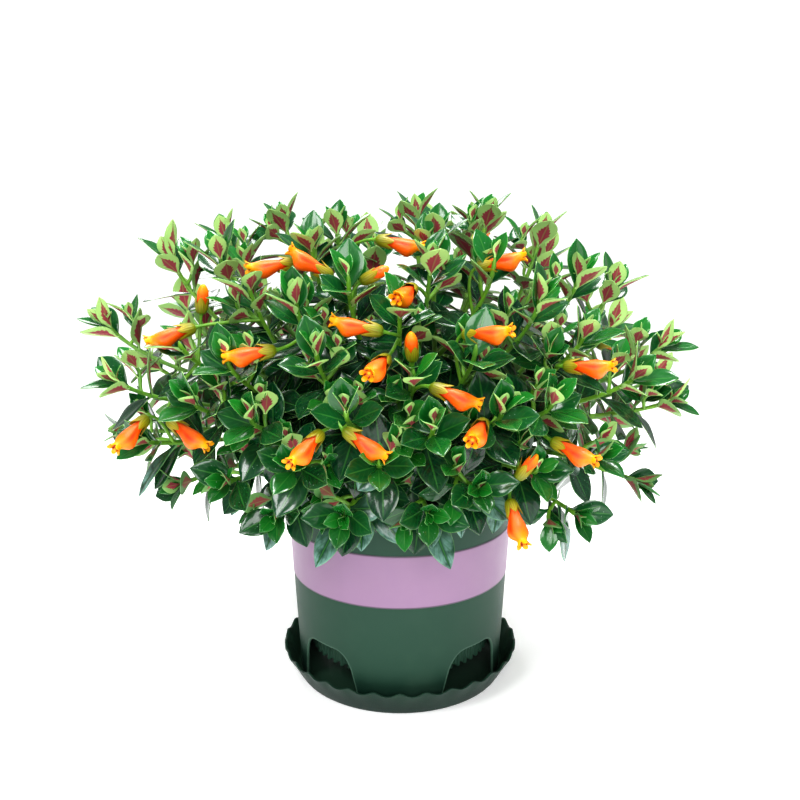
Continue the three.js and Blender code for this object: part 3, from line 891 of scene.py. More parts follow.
@dataclass(frozen=True)
class Pair:
    """A pair of leaves: distance below the tip, opening in degrees, size and age (0 to 1).

    Its climb is the share of the soft tip that the pair sits above that distance.
    """

    below: float
    opening: float
    size: float
    age: float
    turned: bool
    climb: float = 0.0

    @property
    def sides(self) -> tuple[int, int]:
        """The sides of the stem that its leaves take, in quarter turns."""
        return int(self.turned), 2 + int(self.turned)


GROWN_PAIRS = (Pair(7.0, 42.0, 0.86, 0.55, False), Pair(20.0, 62.0, 1.03, 0.85, True))
YOUNG_PAIRS = (
    Pair(2.2, 28.0, 0.94, 0.4, True, 0.25),
    Pair(1.3, 20.0, 0.68, 0.2, False, 0.65),
    Pair(0.5, 11.0, 0.38, 0.0, True, 1.0),
)
SPROUT_PAIRS = (
    Pair(8.0, 44.0, 0.7, 0.5, False),
    Pair(2.5, 27.0, 0.62, 0.25, True, 0.4),
    Pair(0.5, 13.0, 0.36, 0.0, False, 1.0),
)
LOWER_PAIRS = (
    Pair(32.5, 74.0, 1.04, 0.95, False),
    Pair(45.0, 82.0, 1.0, 1.0, True),
    Pair(58.0, 88.0, 0.96, 1.0, False),
    Pair(71.0, 90.0, 0.9, 1.0, True),
    Pair(84.0, 90.0, 0.86, 1.0, False),
)
# What a leaf tries in turn to clear its neighbours: degrees of swing and of opening.
ESCAPES = ((0, 0), (12, -6), (-12, -6), (24, 4), (-24, 4), (0, -14), (0, 14), (22, -14), (-22, -14))


@dataclass(frozen=True)
class Pose:
    """Where a leaf grows, the way it points and looks, its size and its age."""

    place: Array
    direction: Array
    face: Array
    length: float
    width: float
    age: float

    CURL = 0.1

    def spine(self, share: float) -> Array:
        """Returns the place at a share of the way along the midrib."""
        sag = self.CURL * self.length * share * share
        return self.place + self.direction * share * self.length - self.face * sag

    def feelers(self) -> Array:
        """Returns points over the blade that feel for its neighbours."""
        across = np.cross(self.direction, self.face)
        half = self.width * 0.4
        rows = [(0.3, 0.6), (0.5, 1.0), (0.7, 0.95), (0.86, 0.6)]
        points = [self.spine(s) + across * half * w * side for s, w in rows for side in (-1, 0, 1)]
        return np.array([*points, self.spine(0.98)])


class Shoot:
    """One leafy shoot, which leaves its trunk outwards and upwards."""

    FULL_LENGTH = 28.0
    FULL_WIDTH = 14.0
    LEAST_OPENING = 26.0
    LEAST_YOUNG_OPENING = 8.0
    SWINGS = (-10.0, 10.0)
    OPENINGS = (-7.0, 7.0)
    SIZES = (0.92, 1.06)
    TO_LIGHT = 0.45
    SOFT_TIP = 12.0
    LEAST_SOFT_TIP = 0.3
    FLATNESS = 0.6

    def __init__(
        self, plant: int, root: Array, tip: Array, seed: int, soft: float = SOFT_TIP
    ) -> None:
        """Lays out the shoot of a plant.

        Args:
            plant: The plant's number.
            root: Its root on the trunk.
            tip: The end of its firm stem.
            seed: The seed of its draws.
            soft: The most that its soft tip may climb above the firm stem.
        """
        self.plant = plant
        axes = np.array(HABIT.half_axes)
        outward = unit((tip - np.array(HABIT.centre)) / axes / axes)
        self.heading = unit(outward + HABIT.lift * UP)
        self.side = unit(np.cross(UP, tip - root))
        rise = unit(np.cross(self.side, UP) + HABIT.rise * UP)
        reach = float(np.linalg.norm(tip - root)) * HABIT.reach
        holds = [root, root + rise * reach, tip - self.heading * reach, tip]
        t = np.linspace(0.0, 1.0, HABIT.samples + 1)[:, None]
        weights = [(1 - t) ** 3, 3 * t * (1 - t) ** 2, 3 * t * t * (1 - t), t**3]
        self.points = sum(weight * hold for weight, hold in zip(weights, holds))
        steps = np.linalg.norm(np.diff(self.points, axis=0), axis=1)
        self.from_tip = np.concatenate([[0.0], np.cumsum(steps[::-1])])
        self.length = float(self.from_tip[-1])
        self.draws = Draws(seed)
        self.twist = self.draws.between(-HABIT.twist, HABIT.twist)
        self.own_draws = Draws(seed * 37 + 11)
        # The lowest, highest and outermost shoots have small young leaves and short soft tips.
        height = tip[2]
        self.aside = math.hypot(tip[0], tip[1] * self.FLATNESS)
        climb = smooth(142.0, 176.0, height) * smooth(270.0, 244.0, height)
        climb *= 1.0 - 0.75 * smooth(90.0, 135.0, self.aside)
        self.soft = max(self.LEAST_SOFT_TIP, soft * float(climb))
        self.vigour = lerp(0.72, 1.0, float(smooth(150.0, 200.0, height)))
        self.vigour *= 1.0 - 0.2 * float(smooth(250.0, 272.0, height))
        self.vigour *= 1.0 - 0.16 * float(smooth(125.0, 155.0, self.aside))
        self.upward = unit(UP + 0.3 * self.heading)

    def at(self, below: float) -> tuple[Array, Array]:
        """Finds a place on the stem.

        Args:
            below: The distance below the firm tip, less than 0 on the soft tip.

        Returns:
            The place and the unit direction.
        """
        if below < 0.0:
            bend = (self.upward - self.heading) * -below / self.soft
            return self.points[-1] - below * (self.heading + bend / 2), unit(self.heading + bend)
        step = int(np.clip(np.searchsorted(self.from_tip, below) - 1, 0, HABIT.samples - 1))
        upper, lower = self.points[-1 - step], self.points[-2 - step]
        share = (below - self.from_tip[step]) / (self.from_tip[step + 1] - self.from_tip[step])
        return upper + (lower - upper) * share, unit(upper - lower)

    def stations(self) -> list[float]:
        """Returns the distances below the tip at which the plain solid's stem has rings."""
        half = HABIT.node_height / 2
        lowest = GROWN_PAIRS[-1].below + half
        bare = self.length - HABIT.root_length - lowest
        steps = max(1, math.floor(bare / HABIT.ring_step + 0.5))
        rings = [lowest + bare * (1 - i / steps) for i in range(steps)]
        for pair in reversed(GROWN_PAIRS):
            rings += [pair.below + half, pair.below - half]
        return rings

    def middle(self, below: float) -> Array:
        """Finds the middle of the plain solid's stem.

        Args:
            below: The distance below the tip.

        Returns:
            The place, on the straight line between two rings.
        """
        rings = self.stations()
        following = max(1, next(i for i, ring in enumerate(rings) if ring < below))
        lower, upper = rings[following - 1], rings[following]
        share = min(1.0, max(0.0, (lower - below) / (lower - upper)))
        start, end = self.at(lower)[0], self.at(upper)[0]
        return start + (end - start) * share

    def seat(self, pair: Pair) -> float:
        """Returns how far below the firm tip a pair springs."""
        return pair.below - pair.climb * self.soft

    def frame(self, along: Array) -> tuple[Array, Array]:
        """Returns two unit directions, square to the stem's direction and to each other."""
        across = turned_about(square_to(self.side, along), along, self.twist)
        return across, np.cross(along, across)

    def pose(self, pair: Pair, side: int, swing: float, opening: float, size: float) -> Pose:
        """Returns the pose of one leaf of a pair.

        Args:
            pair: The pair that it belongs to.
            side: The side of the stem, in quarter turns.
            swing: How far it swings about the stem, in degrees.
            opening: Its angle to the stem, in degrees.
            size: Its size against a full-grown leaf.

        Returns:
            The pose.
        """
        place, along = self.at(self.seat(pair))
        across, lift = self.frame(along)
        turn = math.radians(side * 90 + swing)
        outward = across * math.cos(turn) + lift * math.sin(turn)
        least = self.LEAST_OPENING if pair in GROWN_PAIRS else self.LEAST_YOUNG_OPENING
        angle = math.radians(max(opening, least))
        direction = along * math.cos(angle) + outward * math.sin(angle)
        face = along * math.sin(angle) - outward * math.cos(angle) + self.TO_LIGHT * UP
        length, width = self.FULL_LENGTH * size, self.FULL_WIDTH * size
        return Pose(place, direction, square_to(face, direction), length, width, pair.age)

    def tries(self, pair: Pair, side: int) -> list[Pose]:
        """Draws the poses that a leaf tries in turn.

        Args:
            pair: The pair that the leaf belongs to.
            side: The side of the stem, in quarter turns.

        Returns:
            The poses, the best liked first.
        """
        swing = self.draws.between(*self.SWINGS)
        opening = pair.opening + self.draws.between(*self.OPENINGS)
        size = pair.size * self.draws.between(*self.SIZES)
        size *= self.vigour if pair in YOUNG_PAIRS else 1.0
        return [self.pose(pair, side, swing + s, opening + o, size) for s, o in ESCAPES]


@dataclass(frozen=True)
class Seat:
    """Where a leaf springs: its shoot, its pair and its side of the stem in quarter turns."""

    shoot: Shoot
    pair: Pair
    side: int

    def tries(self) -> list[Pose]:
        """Draws the poses that the leaf tries in turn, the best liked first."""
        return self.shoot.tries(self.pair, self.side)


@dataclass
class Room:
    """Remembers points, and tells how many others lie within its reach of them."""

    reach: float
    cells: dict[tuple[int, ...], list[list[float]]] = field(default_factory=dict)

    def _cell(self, point: Sequence[float]) -> tuple[int, ...]:
        """Returns the cell that a point lies in."""
        return tuple(math.floor(value / self.reach) for value in point)

    def take(self, points: Array) -> None:
        """Remembers some points."""
        for point in points.tolist():
            self.cells.setdefault(self._cell(point), []).append(point)

    def _near(self, point: Sequence[float]) -> Iterator[list[float]]:
        """Gives the remembered points in the cells round a point."""
        for cell in product(*((i - 1, i, i + 1) for i in self._cell(point))):
            yield from self.cells.get(cell, ())

    def _is_near(self, point: Sequence[float]) -> bool:
        """Tells whether a remembered point lies within reach of a point."""
        return any(math.dist(other, point) < self.reach for other in self._near(point))

    def crowding(self, points: Array) -> int:
        """Returns how many of some points lie near what is there."""
        return sum(self._is_near(point) for point in points.tolist())


@dataclass(frozen=True)
class Blade:
    """The shape of a full leaf: stalk, V-folded blade with rolled margins, and drip tip.

    Each leaf draws its own bend, lean, twist, ripple and fold between two limits.
    """

    stations: int = 11
    small_stations: int = 8
    small_length: float = 21.0
    breadth: float = 1.12
    thickness: float = 0.95
    stalk_radius: float = 0.78
    stalk_end: float = 0.12
    keel: float = 0.2
    roll: float = 0.34
    tracks: Row = (-1.0, -0.82, -0.42, 0.0, 0.42, 0.82, 1.0)
    bends: Row = (-0.05, 0.07)
    leans: Row = (-0.04, 0.04)
    twists: Row = (-14.0, 14.0)
    ripples: Row = (0.0, 0.035)
    folds: Row = (0.75, 1.35)
    least_half: float = 0.22

    def outline(self, share: Array) -> Array:
        """Shapes the leaf's outline.

        Args:
            share: Places along the leaf, from 0 to 1.

        Returns:
            The half width there, as a share of its greatest.
        """
        u = np.clip((share - self.stalk_end * 0.6) / (1.0 - self.stalk_end * 0.6), 0.0, 1.0)
        rise, fall = 1.15, 0.95
        peak = rise / (rise + fall)
        top = peak**rise * (1.0 - peak) ** fall
        return u**rise * (1.0 - u) ** fall / top

    def put(self, skin: Skin, pose: Pose, draws: Draws, blush: float) -> None:
        """Adds a leaf to a skin.

        Args:
            skin: What it is added to.
            pose: Where it is and how it points.
            draws: Draws for its own bends and tint.
            blush: How much maroon its lower face shows.
        """
        limits = (self.bends, self.leans, self.twists, self.ripples)
        bend, lean, twist, ripple = [draws.between(*pair) for pair in limits]
        fold = self.keel * draws.between(*self.folds) * lerp(1.7, 1.0, min(1.0, pose.age * 1.6))
        tint, phase = draws.next(), draws.between(0.0, 6.28)
        stations = self.stations if pose.length > self.small_length else self.small_stations
        share = 1.0 - (1.0 - np.linspace(0.0, 1.0, stations)) ** 1.18
        share[0] = 0.0
        s, t = np.meshgrid(share, self.tracks, indexing="ij")
        scale = pose.length / Shoot.FULL_LENGTH
        stalk = self.stalk_radius * max(0.6, scale)
        wide = self.outline(s) * self.breadth * pose.width / 2
        half = np.maximum(wide, stalk * (1.0 - smooth(0.7, 1.0, s)))
        half = np.maximum(half, self.least_half)
        blade = smooth(self.stalk_end * 0.5, self.stalk_end * 2.4, s)
        aside = t * half
        rise = fold * np.abs(aside) - self.roll * fold * np.abs(aside) * np.abs(t) ** 3
        rise += ripple * half * np.sin(s * 11.0 + phase + np.sign(t)) * np.abs(t) ** 2
        rise *= blade
        drop = (Pose.CURL + bend) * pose.length * s * s - bend * pose.length * s**3
        turn = np.radians(twist) * s * s
        y = aside * np.cos(turn) - rise * np.sin(turn) + lean * pose.length * s * s
        z = rise * np.cos(turn) + aside * np.sin(turn) - drop
        slim = (1.0 - 0.35 * s) * self.thickness / 2 * max(0.6, scale)
        middle = stalk * (1.0 - blade) + slim * blade
        edge = np.sqrt(np.clip(1.0 - 0.93 * np.abs(t) ** (2.0 + 5.0 * blade), 0.0, 1.0))
        groove = 0.16 * blade * np.exp(-((t * half / 0.9) ** 2))
        upper = z + middle * edge - groove * middle
        lower = z - middle * edge - 0.22 * blade * middle * np.exp(-((t * half / 0.8) ** 2))
        across = np.cross(pose.direction, pose.face)
        flat = pose.place + s[..., None] * pose.length * pose.direction + y[..., None] * across
        faces = [flat + level[..., None] * pose.face for level in (upper, lower)]
        laid = [columns(s, t, layer) for layer in (1.0, -1.0)]
        kind = [pose.age, tint, blush]
        skin.add_sheet(both_faces(*faces), 0, leaf_place=both_faces(*laid), leaf_kind=kind)


# Flowers


class Stage(Enum):
    """How far a flower has opened."""

    OPEN = "flower"
    BUD = "bud"


@dataclass(frozen=True)
class Bloom:
    """One flower: the foot of its calyx, the way its mouth points, and its stage."""

    number: int
    root: Row
    azimuth: float
    rise: float
    stage: Stage

    STALK_RADIUS = 0.85
    BEND = 7.0
    DETOUR = 3.0
    STALK_PLACES = tuple(range(12, 60, 2))

    @property
    def node(self) -> str:
        """Its CAD node."""
        return f"{self.stage.value}_{self.number:02d}"

    @property
    def foot(self) -> Array:
        """The foot of its calyx."""
        return np.array(self.root, float)

    @property
    def aim(self) -> Array:
        """The way its mouth points."""
        azimuth, rise = math.radians(self.azimuth), math.radians(self.rise)
        level = math.cos(rise)
        return np.array([math.sin(azimuth) * level, -math.cos(azimuth) * level, math.sin(rise)])

    @property
    def across(self) -> Array:
        """The level way across it."""
        return unit(np.cross(UP, self.aim))

    @property
    def back(self) -> Array:
        """The way from its belly to its back."""
        return np.cross(self.aim, self.across)

    def effort(self, place: Array) -> float:
        """Returns the way of its stalk from a place, longer if the stalk has to turn round."""
        way = self.foot - place
        return float(np.linalg.norm(way) + self.DETOUR * max(0.0, self.BEND - way @ self.aim))

    def ring(self, along: Array, x: Array, y: Array) -> Array:
        """Places points on the flower.

        Args:
            along: Distances from the foot towards the mouth.
            x: Distances across the flower.
            y: Distances towards its back.

        Returns:
            The points.
        """
        return (
            self.foot
            + np.asarray(along)[..., None] * self.aim
            + np.asarray(x)[..., None] * self.across
            + np.asarray(y)[..., None] * self.back
        )

    def carrier(self, shoots: Sequence[Shoot]) -> tuple[Shoot, float]:
        """Finds the shoot that its stalk springs from.

        Args:
            shoots: All the shoots.

        Returns:
            The shoot, and the distance below its tip.
        """
        tried = []
        for number, shoot in enumerate(shoots):
            for below in self.STALK_PLACES:
                tried.append((self.effort(shoot.middle(below)), number, below))
        _, number, below = min(tried)
        return shoots[number], float(below)


@dataclass(frozen=True)
class Calyx:
    """Five pointed sepals that clasp the flower's foot, on a slender stalk."""

    sepals: int = 5
    length: float = 10.2
    width: float = 6.4
    thickness: float = 0.55
    stations: int = 9
    tracks: Row = (-1.0, -0.8, -0.4, 0.0, 0.4, 0.8, 1.0)
    hug: Rows = ((0.0, 1.0), (0.12, 2.5), (0.35, 3.15), (0.65, 3.4), (1.0, 4.0))
    bud_hug: Rows = ((0.0, 1.0), (0.12, 2.3), (0.35, 2.9), (0.65, 3.1), (1.0, 3.3))
    lengths: Row = (0.88, 1.08)
    flares: Row = (-0.1, 0.5)
    splayed: float = 1.3
    lap: float = 0.18
    bulge: float = 0.4

    def put(self, skin: Skin, bloom: Bloom, draws: Draws) -> None:
        """Adds the sepals of a flower to a skin.

        Args:
            skin: What they are added to.
            bloom: The flower.
            draws: Draws for their spread.
        """
        rows = np.array(self.hug if bloom.stage is Stage.OPEN else self.bud_hug)
        s, t = np.meshgrid(np.linspace(0.0, 1.0, self.stations), self.tracks, indexing="ij")
        outline = np.clip(s + 0.06, 0.0, 1.0) ** 0.5 * np.clip(1.0 - s, 0.0, 1.0) ** 0.72 * 1.55
        outline = np.maximum(outline, 0.05)
        for sepal in range(self.sepals):
            angle = math.radians(90.0 + 360.0 / self.sepals * sepal + draws.between(-5.0, 5.0))
            length = self.length * draws.between(*self.lengths)
            flare = draws.between(*self.flares) + self.splayed * (draws.next() > 0.85)
            lap = self.lap * (sepal % 2)
            half = outline * self.width / 2
            radius = np.interp(s, rows[:, 0], rows[:, 1]) + lap + flare * s**3
            spread = t * half / np.maximum(radius, 2.6)
            bulge = (1.0 - t * t) * s * (1.0 - s) * self.bulge
            tint = draws.next()
            layers = []
            for layer in (1.0, -1.0):
                depth = layer * self.thickness / 2 * np.sqrt(1.0 - 0.85 * t**4) * (1.0 - 0.5 * s)
                reach = radius + bulge + depth
                x, y = reach * np.cos(angle + spread), reach * np.sin(angle + spread)
                layers.append(bloom.ring(s * length, x, y))
            lay = columns(s, t, tint)
            skin.add_sheet(both_faces(*layers), 1, sepal_place=both_faces(lay, lay))

    def put_stalk(self, skin: Skin, bloom: Bloom, place: Array) -> None:
        """Adds the stalk that carries a flower.

        Args:
            skin: What it is added to.
            bloom: The flower.
            place: Its root, inside the stem.
        """
        bend = bloom.foot - bloom.aim * Bloom.BEND
        end = bloom.foot + bloom.aim * 1.6
        share = np.linspace(0.0, 1.0, 15)
        path = arc(place, bend, end, share[:, None])
        radii = Bloom.STALK_RADIUS * (1.0 + 0.25 * (1 - share) ** 3)
        radii += 1.1 * smooth(0.82, 1.0, share)
        values = columns(0.25 * (1 - share), 0.2 + 0.3 * share, share)
        Tube(path, radii, 8).put(skin, 0, "stem_place", values)


@dataclass(frozen=True)
class Corolla:
    """The pouched tube of an open flower, or a closed bud.

    Rows hold the distance along, the drop of the middle, half the width and half the height.
    """

    sides: int = 40
    lobes: int = 5
    rows: Rows = (
        (3.4, 0.0, 1.5, 1.5), (3.7, 0.0, 2.0, 2.0), (6.0, 0.0, 2.35, 2.3), (8.5, 0.1, 2.8, 2.65),
        (10.5, 0.3, 3.35, 3.05), (12.5, 0.65, 4.05, 3.6), (14.5, 1.05, 4.75, 4.15),
        (16.3, 1.35, 5.2, 4.55), (18.0, 1.42, 5.3, 4.62), (19.4, 1.2, 4.95, 4.25),
        (20.6, 0.75, 4.2, 3.6), (21.6, 0.25, 3.35, 2.95), (22.5, -0.1, 2.75, 2.5),
        (23.2, -0.25, 2.5, 2.35), (23.9, -0.3, 2.6, 2.45),
    )
    bud_rows: Rows = (
        (3.4, 0.0, 1.5, 1.5), (3.7, 0.0, 2.0, 2.0), (5.5, 0.0, 2.4, 2.35), (7.5, 0.1, 2.75, 2.65),
        (9.5, 0.2, 3.0, 2.9), (11.3, 0.25, 3.05, 2.9), (12.8, 0.2, 2.8, 2.65),
        (14.0, 0.1, 2.35, 2.2), (15.0, 0.0, 1.75, 1.65), (15.8, 0.0, 1.1, 1.05),
        (16.3, 0.0, 0.5, 0.5),
    )
    lobe_rows: Rows = (
        (24.2, 2.65, 0.06), (24.6, 3.0, 0.2), (24.95, 3.4, 0.34), (25.2, 3.75, 0.45),
        (25.5, 3.95, 0.5), (25.8, 3.75, 0.46), (25.7, 3.2, 0.34), (25.3, 2.7, 0.2),
        (24.7, 2.3, 0.08), (24.1, 2.05, 0.02), (23.6, 1.7, 0.0), (23.4, 1.1, 0.0), (23.9, 0.8, 0.0),
        (24.3, 0.4, 0.0),
    )
    length: float = 26.0
    bud_length: float = 16.5
    throat_rows: tuple[int, int] = (7, 10)
    knob_row: int = 12
    crease: float = 0.1
    ridge: float = 0.03

    def _section(self, row: Sequence[float], angles: Array) -> tuple[Array, ...]:
        """Shapes one ring of the tube.

        Args:
            row: A row of the tube.
            angles: The angles round it.

        Returns:
            Places across and upwards, and how deep they lie in the crease.
        """
        along, drop, half_width, half_height = row
        swell = float(np.exp(-(((along - 15.5) / 5.5) ** 2)))
        aside = np.abs(np.arctan2(np.cos(angles), np.sin(angles)))
        fold = np.exp(-(((aside - math.radians(62.0)) / 0.26) ** 2)) * swell
        top = np.exp(-((aside / 0.3) ** 2)) * swell
        reach = 1.0 - self.crease * fold + self.ridge * top
        belly = 1.0 + 0.05 * swell * np.clip(-np.sin(angles), 0.0, 1.0)
        x = half_width * np.cos(angles) * reach
        y = half_height * np.sin(angles) * reach * belly - drop
        return x, y, fold

    def put(self, skin: Skin, bloom: Bloom, draws: Draws) -> None:
        """Adds the corolla of a flower to a skin.

        Args:
            skin: What it is added to.
            bloom: The flower.
            draws: Draws for its tint.
        """
        tint = draws.next()
        angles = turns(self.sides) + math.pi / 2
        is_open = bloom.stage is Stage.OPEN
        layers = []
        for row in self.rows if is_open else self.bud_rows:
            x, y, fold = self._section(row, angles)
            share = row[0] / self.length
            if not is_open:
                pleat = 0.05 * np.cos(5.0 * (angles - math.pi / 2)) * smooth(8.0, 15.0, row[0])
                x, y = x * (1.0 + pleat), y * (1.0 + pleat)
                share = 0.1 + 0.86 * row[0] / self.bud_length
            place = columns(share, np.sin(angles), 0.0)
            layers.append((bloom.ring(row[0], x, y), place, columns(0.0, tint, fold)))
        if is_open:
            layers += self._lobe_layers(bloom, angles, tint)
        rings, places, kinds = (np.array(part) for part in zip(*layers))
        skin.add_rings(rings, 0, petal_place=places, petal_kind=kinds)

    def _lobe_layers(self, bloom: Bloom, angles: Array, tint: float) -> list[tuple[Array, ...]]:
        """Shapes the spread lobes and the mouth between them.

        Args:
            bloom: The flower.
            angles: The angles round it.
            tint: Its tint.

        Returns:
            Rings of corners, each with the two rows of numbers that they carry.
        """
        turn = angles - math.pi / 2
        wave = np.abs(np.cos(turn * self.lobes / 2))
        arch = wave**0.75
        deepest = max(depth for _, _, depth in self.lobe_rows)
        layers = []
        for index, (along, radius, depth) in enumerate(self.lobe_rows):
            reach = radius * (1.0 - depth * (1.0 - arch))
            spread = depth / deepest * (0.8 * arch - 0.9 * (1.0 - arch))
            forward = along + spread + 0.12 * depth * np.sin(turn * 3.0 + tint * 6.0)
            x = reach * np.cos(angles) * 1.04
            y = reach * np.sin(angles) + 0.35
            inside = smooth(*self.throat_rows, index) + float(index >= self.knob_row)
            in_throat = self.throat_rows[0] < index < self.knob_row - 1
            notch = (1.0 - wave) * (1.0 if in_throat else 0.8 * depth / deepest)
            place = columns(0.93 if depth else 0.9, np.sin(angles), inside)
            layers.append((bloom.ring(forward, x, y), place, columns(notch, tint, 0.0)))
        return layers


# Assemblies


@dataclass(frozen=True)
class Dresser:
    """Puts finished pieces on the part's body and logs them, and holds the CAD nodes by name."""

    body: str
    nodes: dict[str, bpy.types.Object]

    def wear(self, piece: bpy.types.Object, slot: str, *nodes: str) -> None:
        """Rides a piece on the body.

        Args:
            piece: The piece.
            slot: Not used.
            *nodes: The CAD nodes that it stands for.
        """
        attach(piece, self.body)
        if nodes:
            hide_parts(*nodes)
        LOG.info("%s: %d faces", piece.name, len(piece.data.polygons))


@dataclass
class Assembly:
    dresser: Dresser
    kit: Kit


@dataclass
class Saucer(Assembly):
    """The loose saucer: flared thin wall, scalloped rim and faint rings on its floor."""

    base_radius: float = 63.2
    rim_radius: float = 72.2
    rim_height: float = 16.5
    wall: float = 1.4
    floor: float = 1.6
    scallops: int = 30
    depth: float = 2.2
    plain_height: float = 7.0
    lit: float = 0.14
    steps: int = 12

    def profile(self) -> Array:
        """Returns radius and height round the wall's section, from the underside outwards."""
        outer = rounded(
            [
                (0.0, 0.6, 0.0),
                (57.0, 0.6, 0.5),
                (58.2, 0.0, 0.5),
                (self.base_radius - 0.4, 0.0, 1.2),
                (self.base_radius + 1.6, 3.2, 1.0),
                (self.rim_radius - 0.25, self.rim_height - 0.5, 0.5),
                (self.rim_radius, self.rim_height, 0.4),
                (self.rim_radius - 0.7, self.rim_height + 0.25, 0.4),
                (self.rim_radius - self.wall, self.rim_height, 0.4),
                (self.base_radius + 0.4, self.floor + 1.6, 1.4),
                (self.base_radius - 2.4, self.floor, 1.0),
            ]
        )
        radii = np.linspace(self.base_radius - 3.4, 0.0, 24)
        ripple = 0.12 * np.cos(radii * 2.0 * math.pi / 10.4)
        return np.concatenate([dense(outer, 5.0), columns(radii, self.floor + ripple)])

    def build(self) -> None:
        """Builds the saucer."""
        sides = self.scallops * self.steps
        profile = self.profile()[1:-1]
        rings = lathed(profile, sides)
        azimuth = np.arctan2(rings[..., 0], -rings[..., 1])
        wave = 1.0 - 2.0 * np.abs(np.sin(azimuth * self.scallops / 2)) ** 1.5
        rise = (rings[..., 2] - self.plain_height) / (self.rim_height - self.plain_height)
        rings[..., 2] += wave * self.depth / 2 * np.clip(rise, 0.0, 1.0) ** 2
        crest = int(np.argmax(profile[:, 1]))
        inside = np.repeat(np.arange(len(profile)) > crest, sides).astype(float)
        # The outer wall is lifted a little out of the painted shade at the foot; the inside takes
        # the inner colour.
        places = columns(inside, self.lit * (1.0 - inside), 0.0)
        skin = Skin()
        skin.add_rings(rings, plastic_place=places)
        self.dresser.wear(skin.made("saucer_dish", [self.kit.plastic], 35.0), "plastic", "saucer")


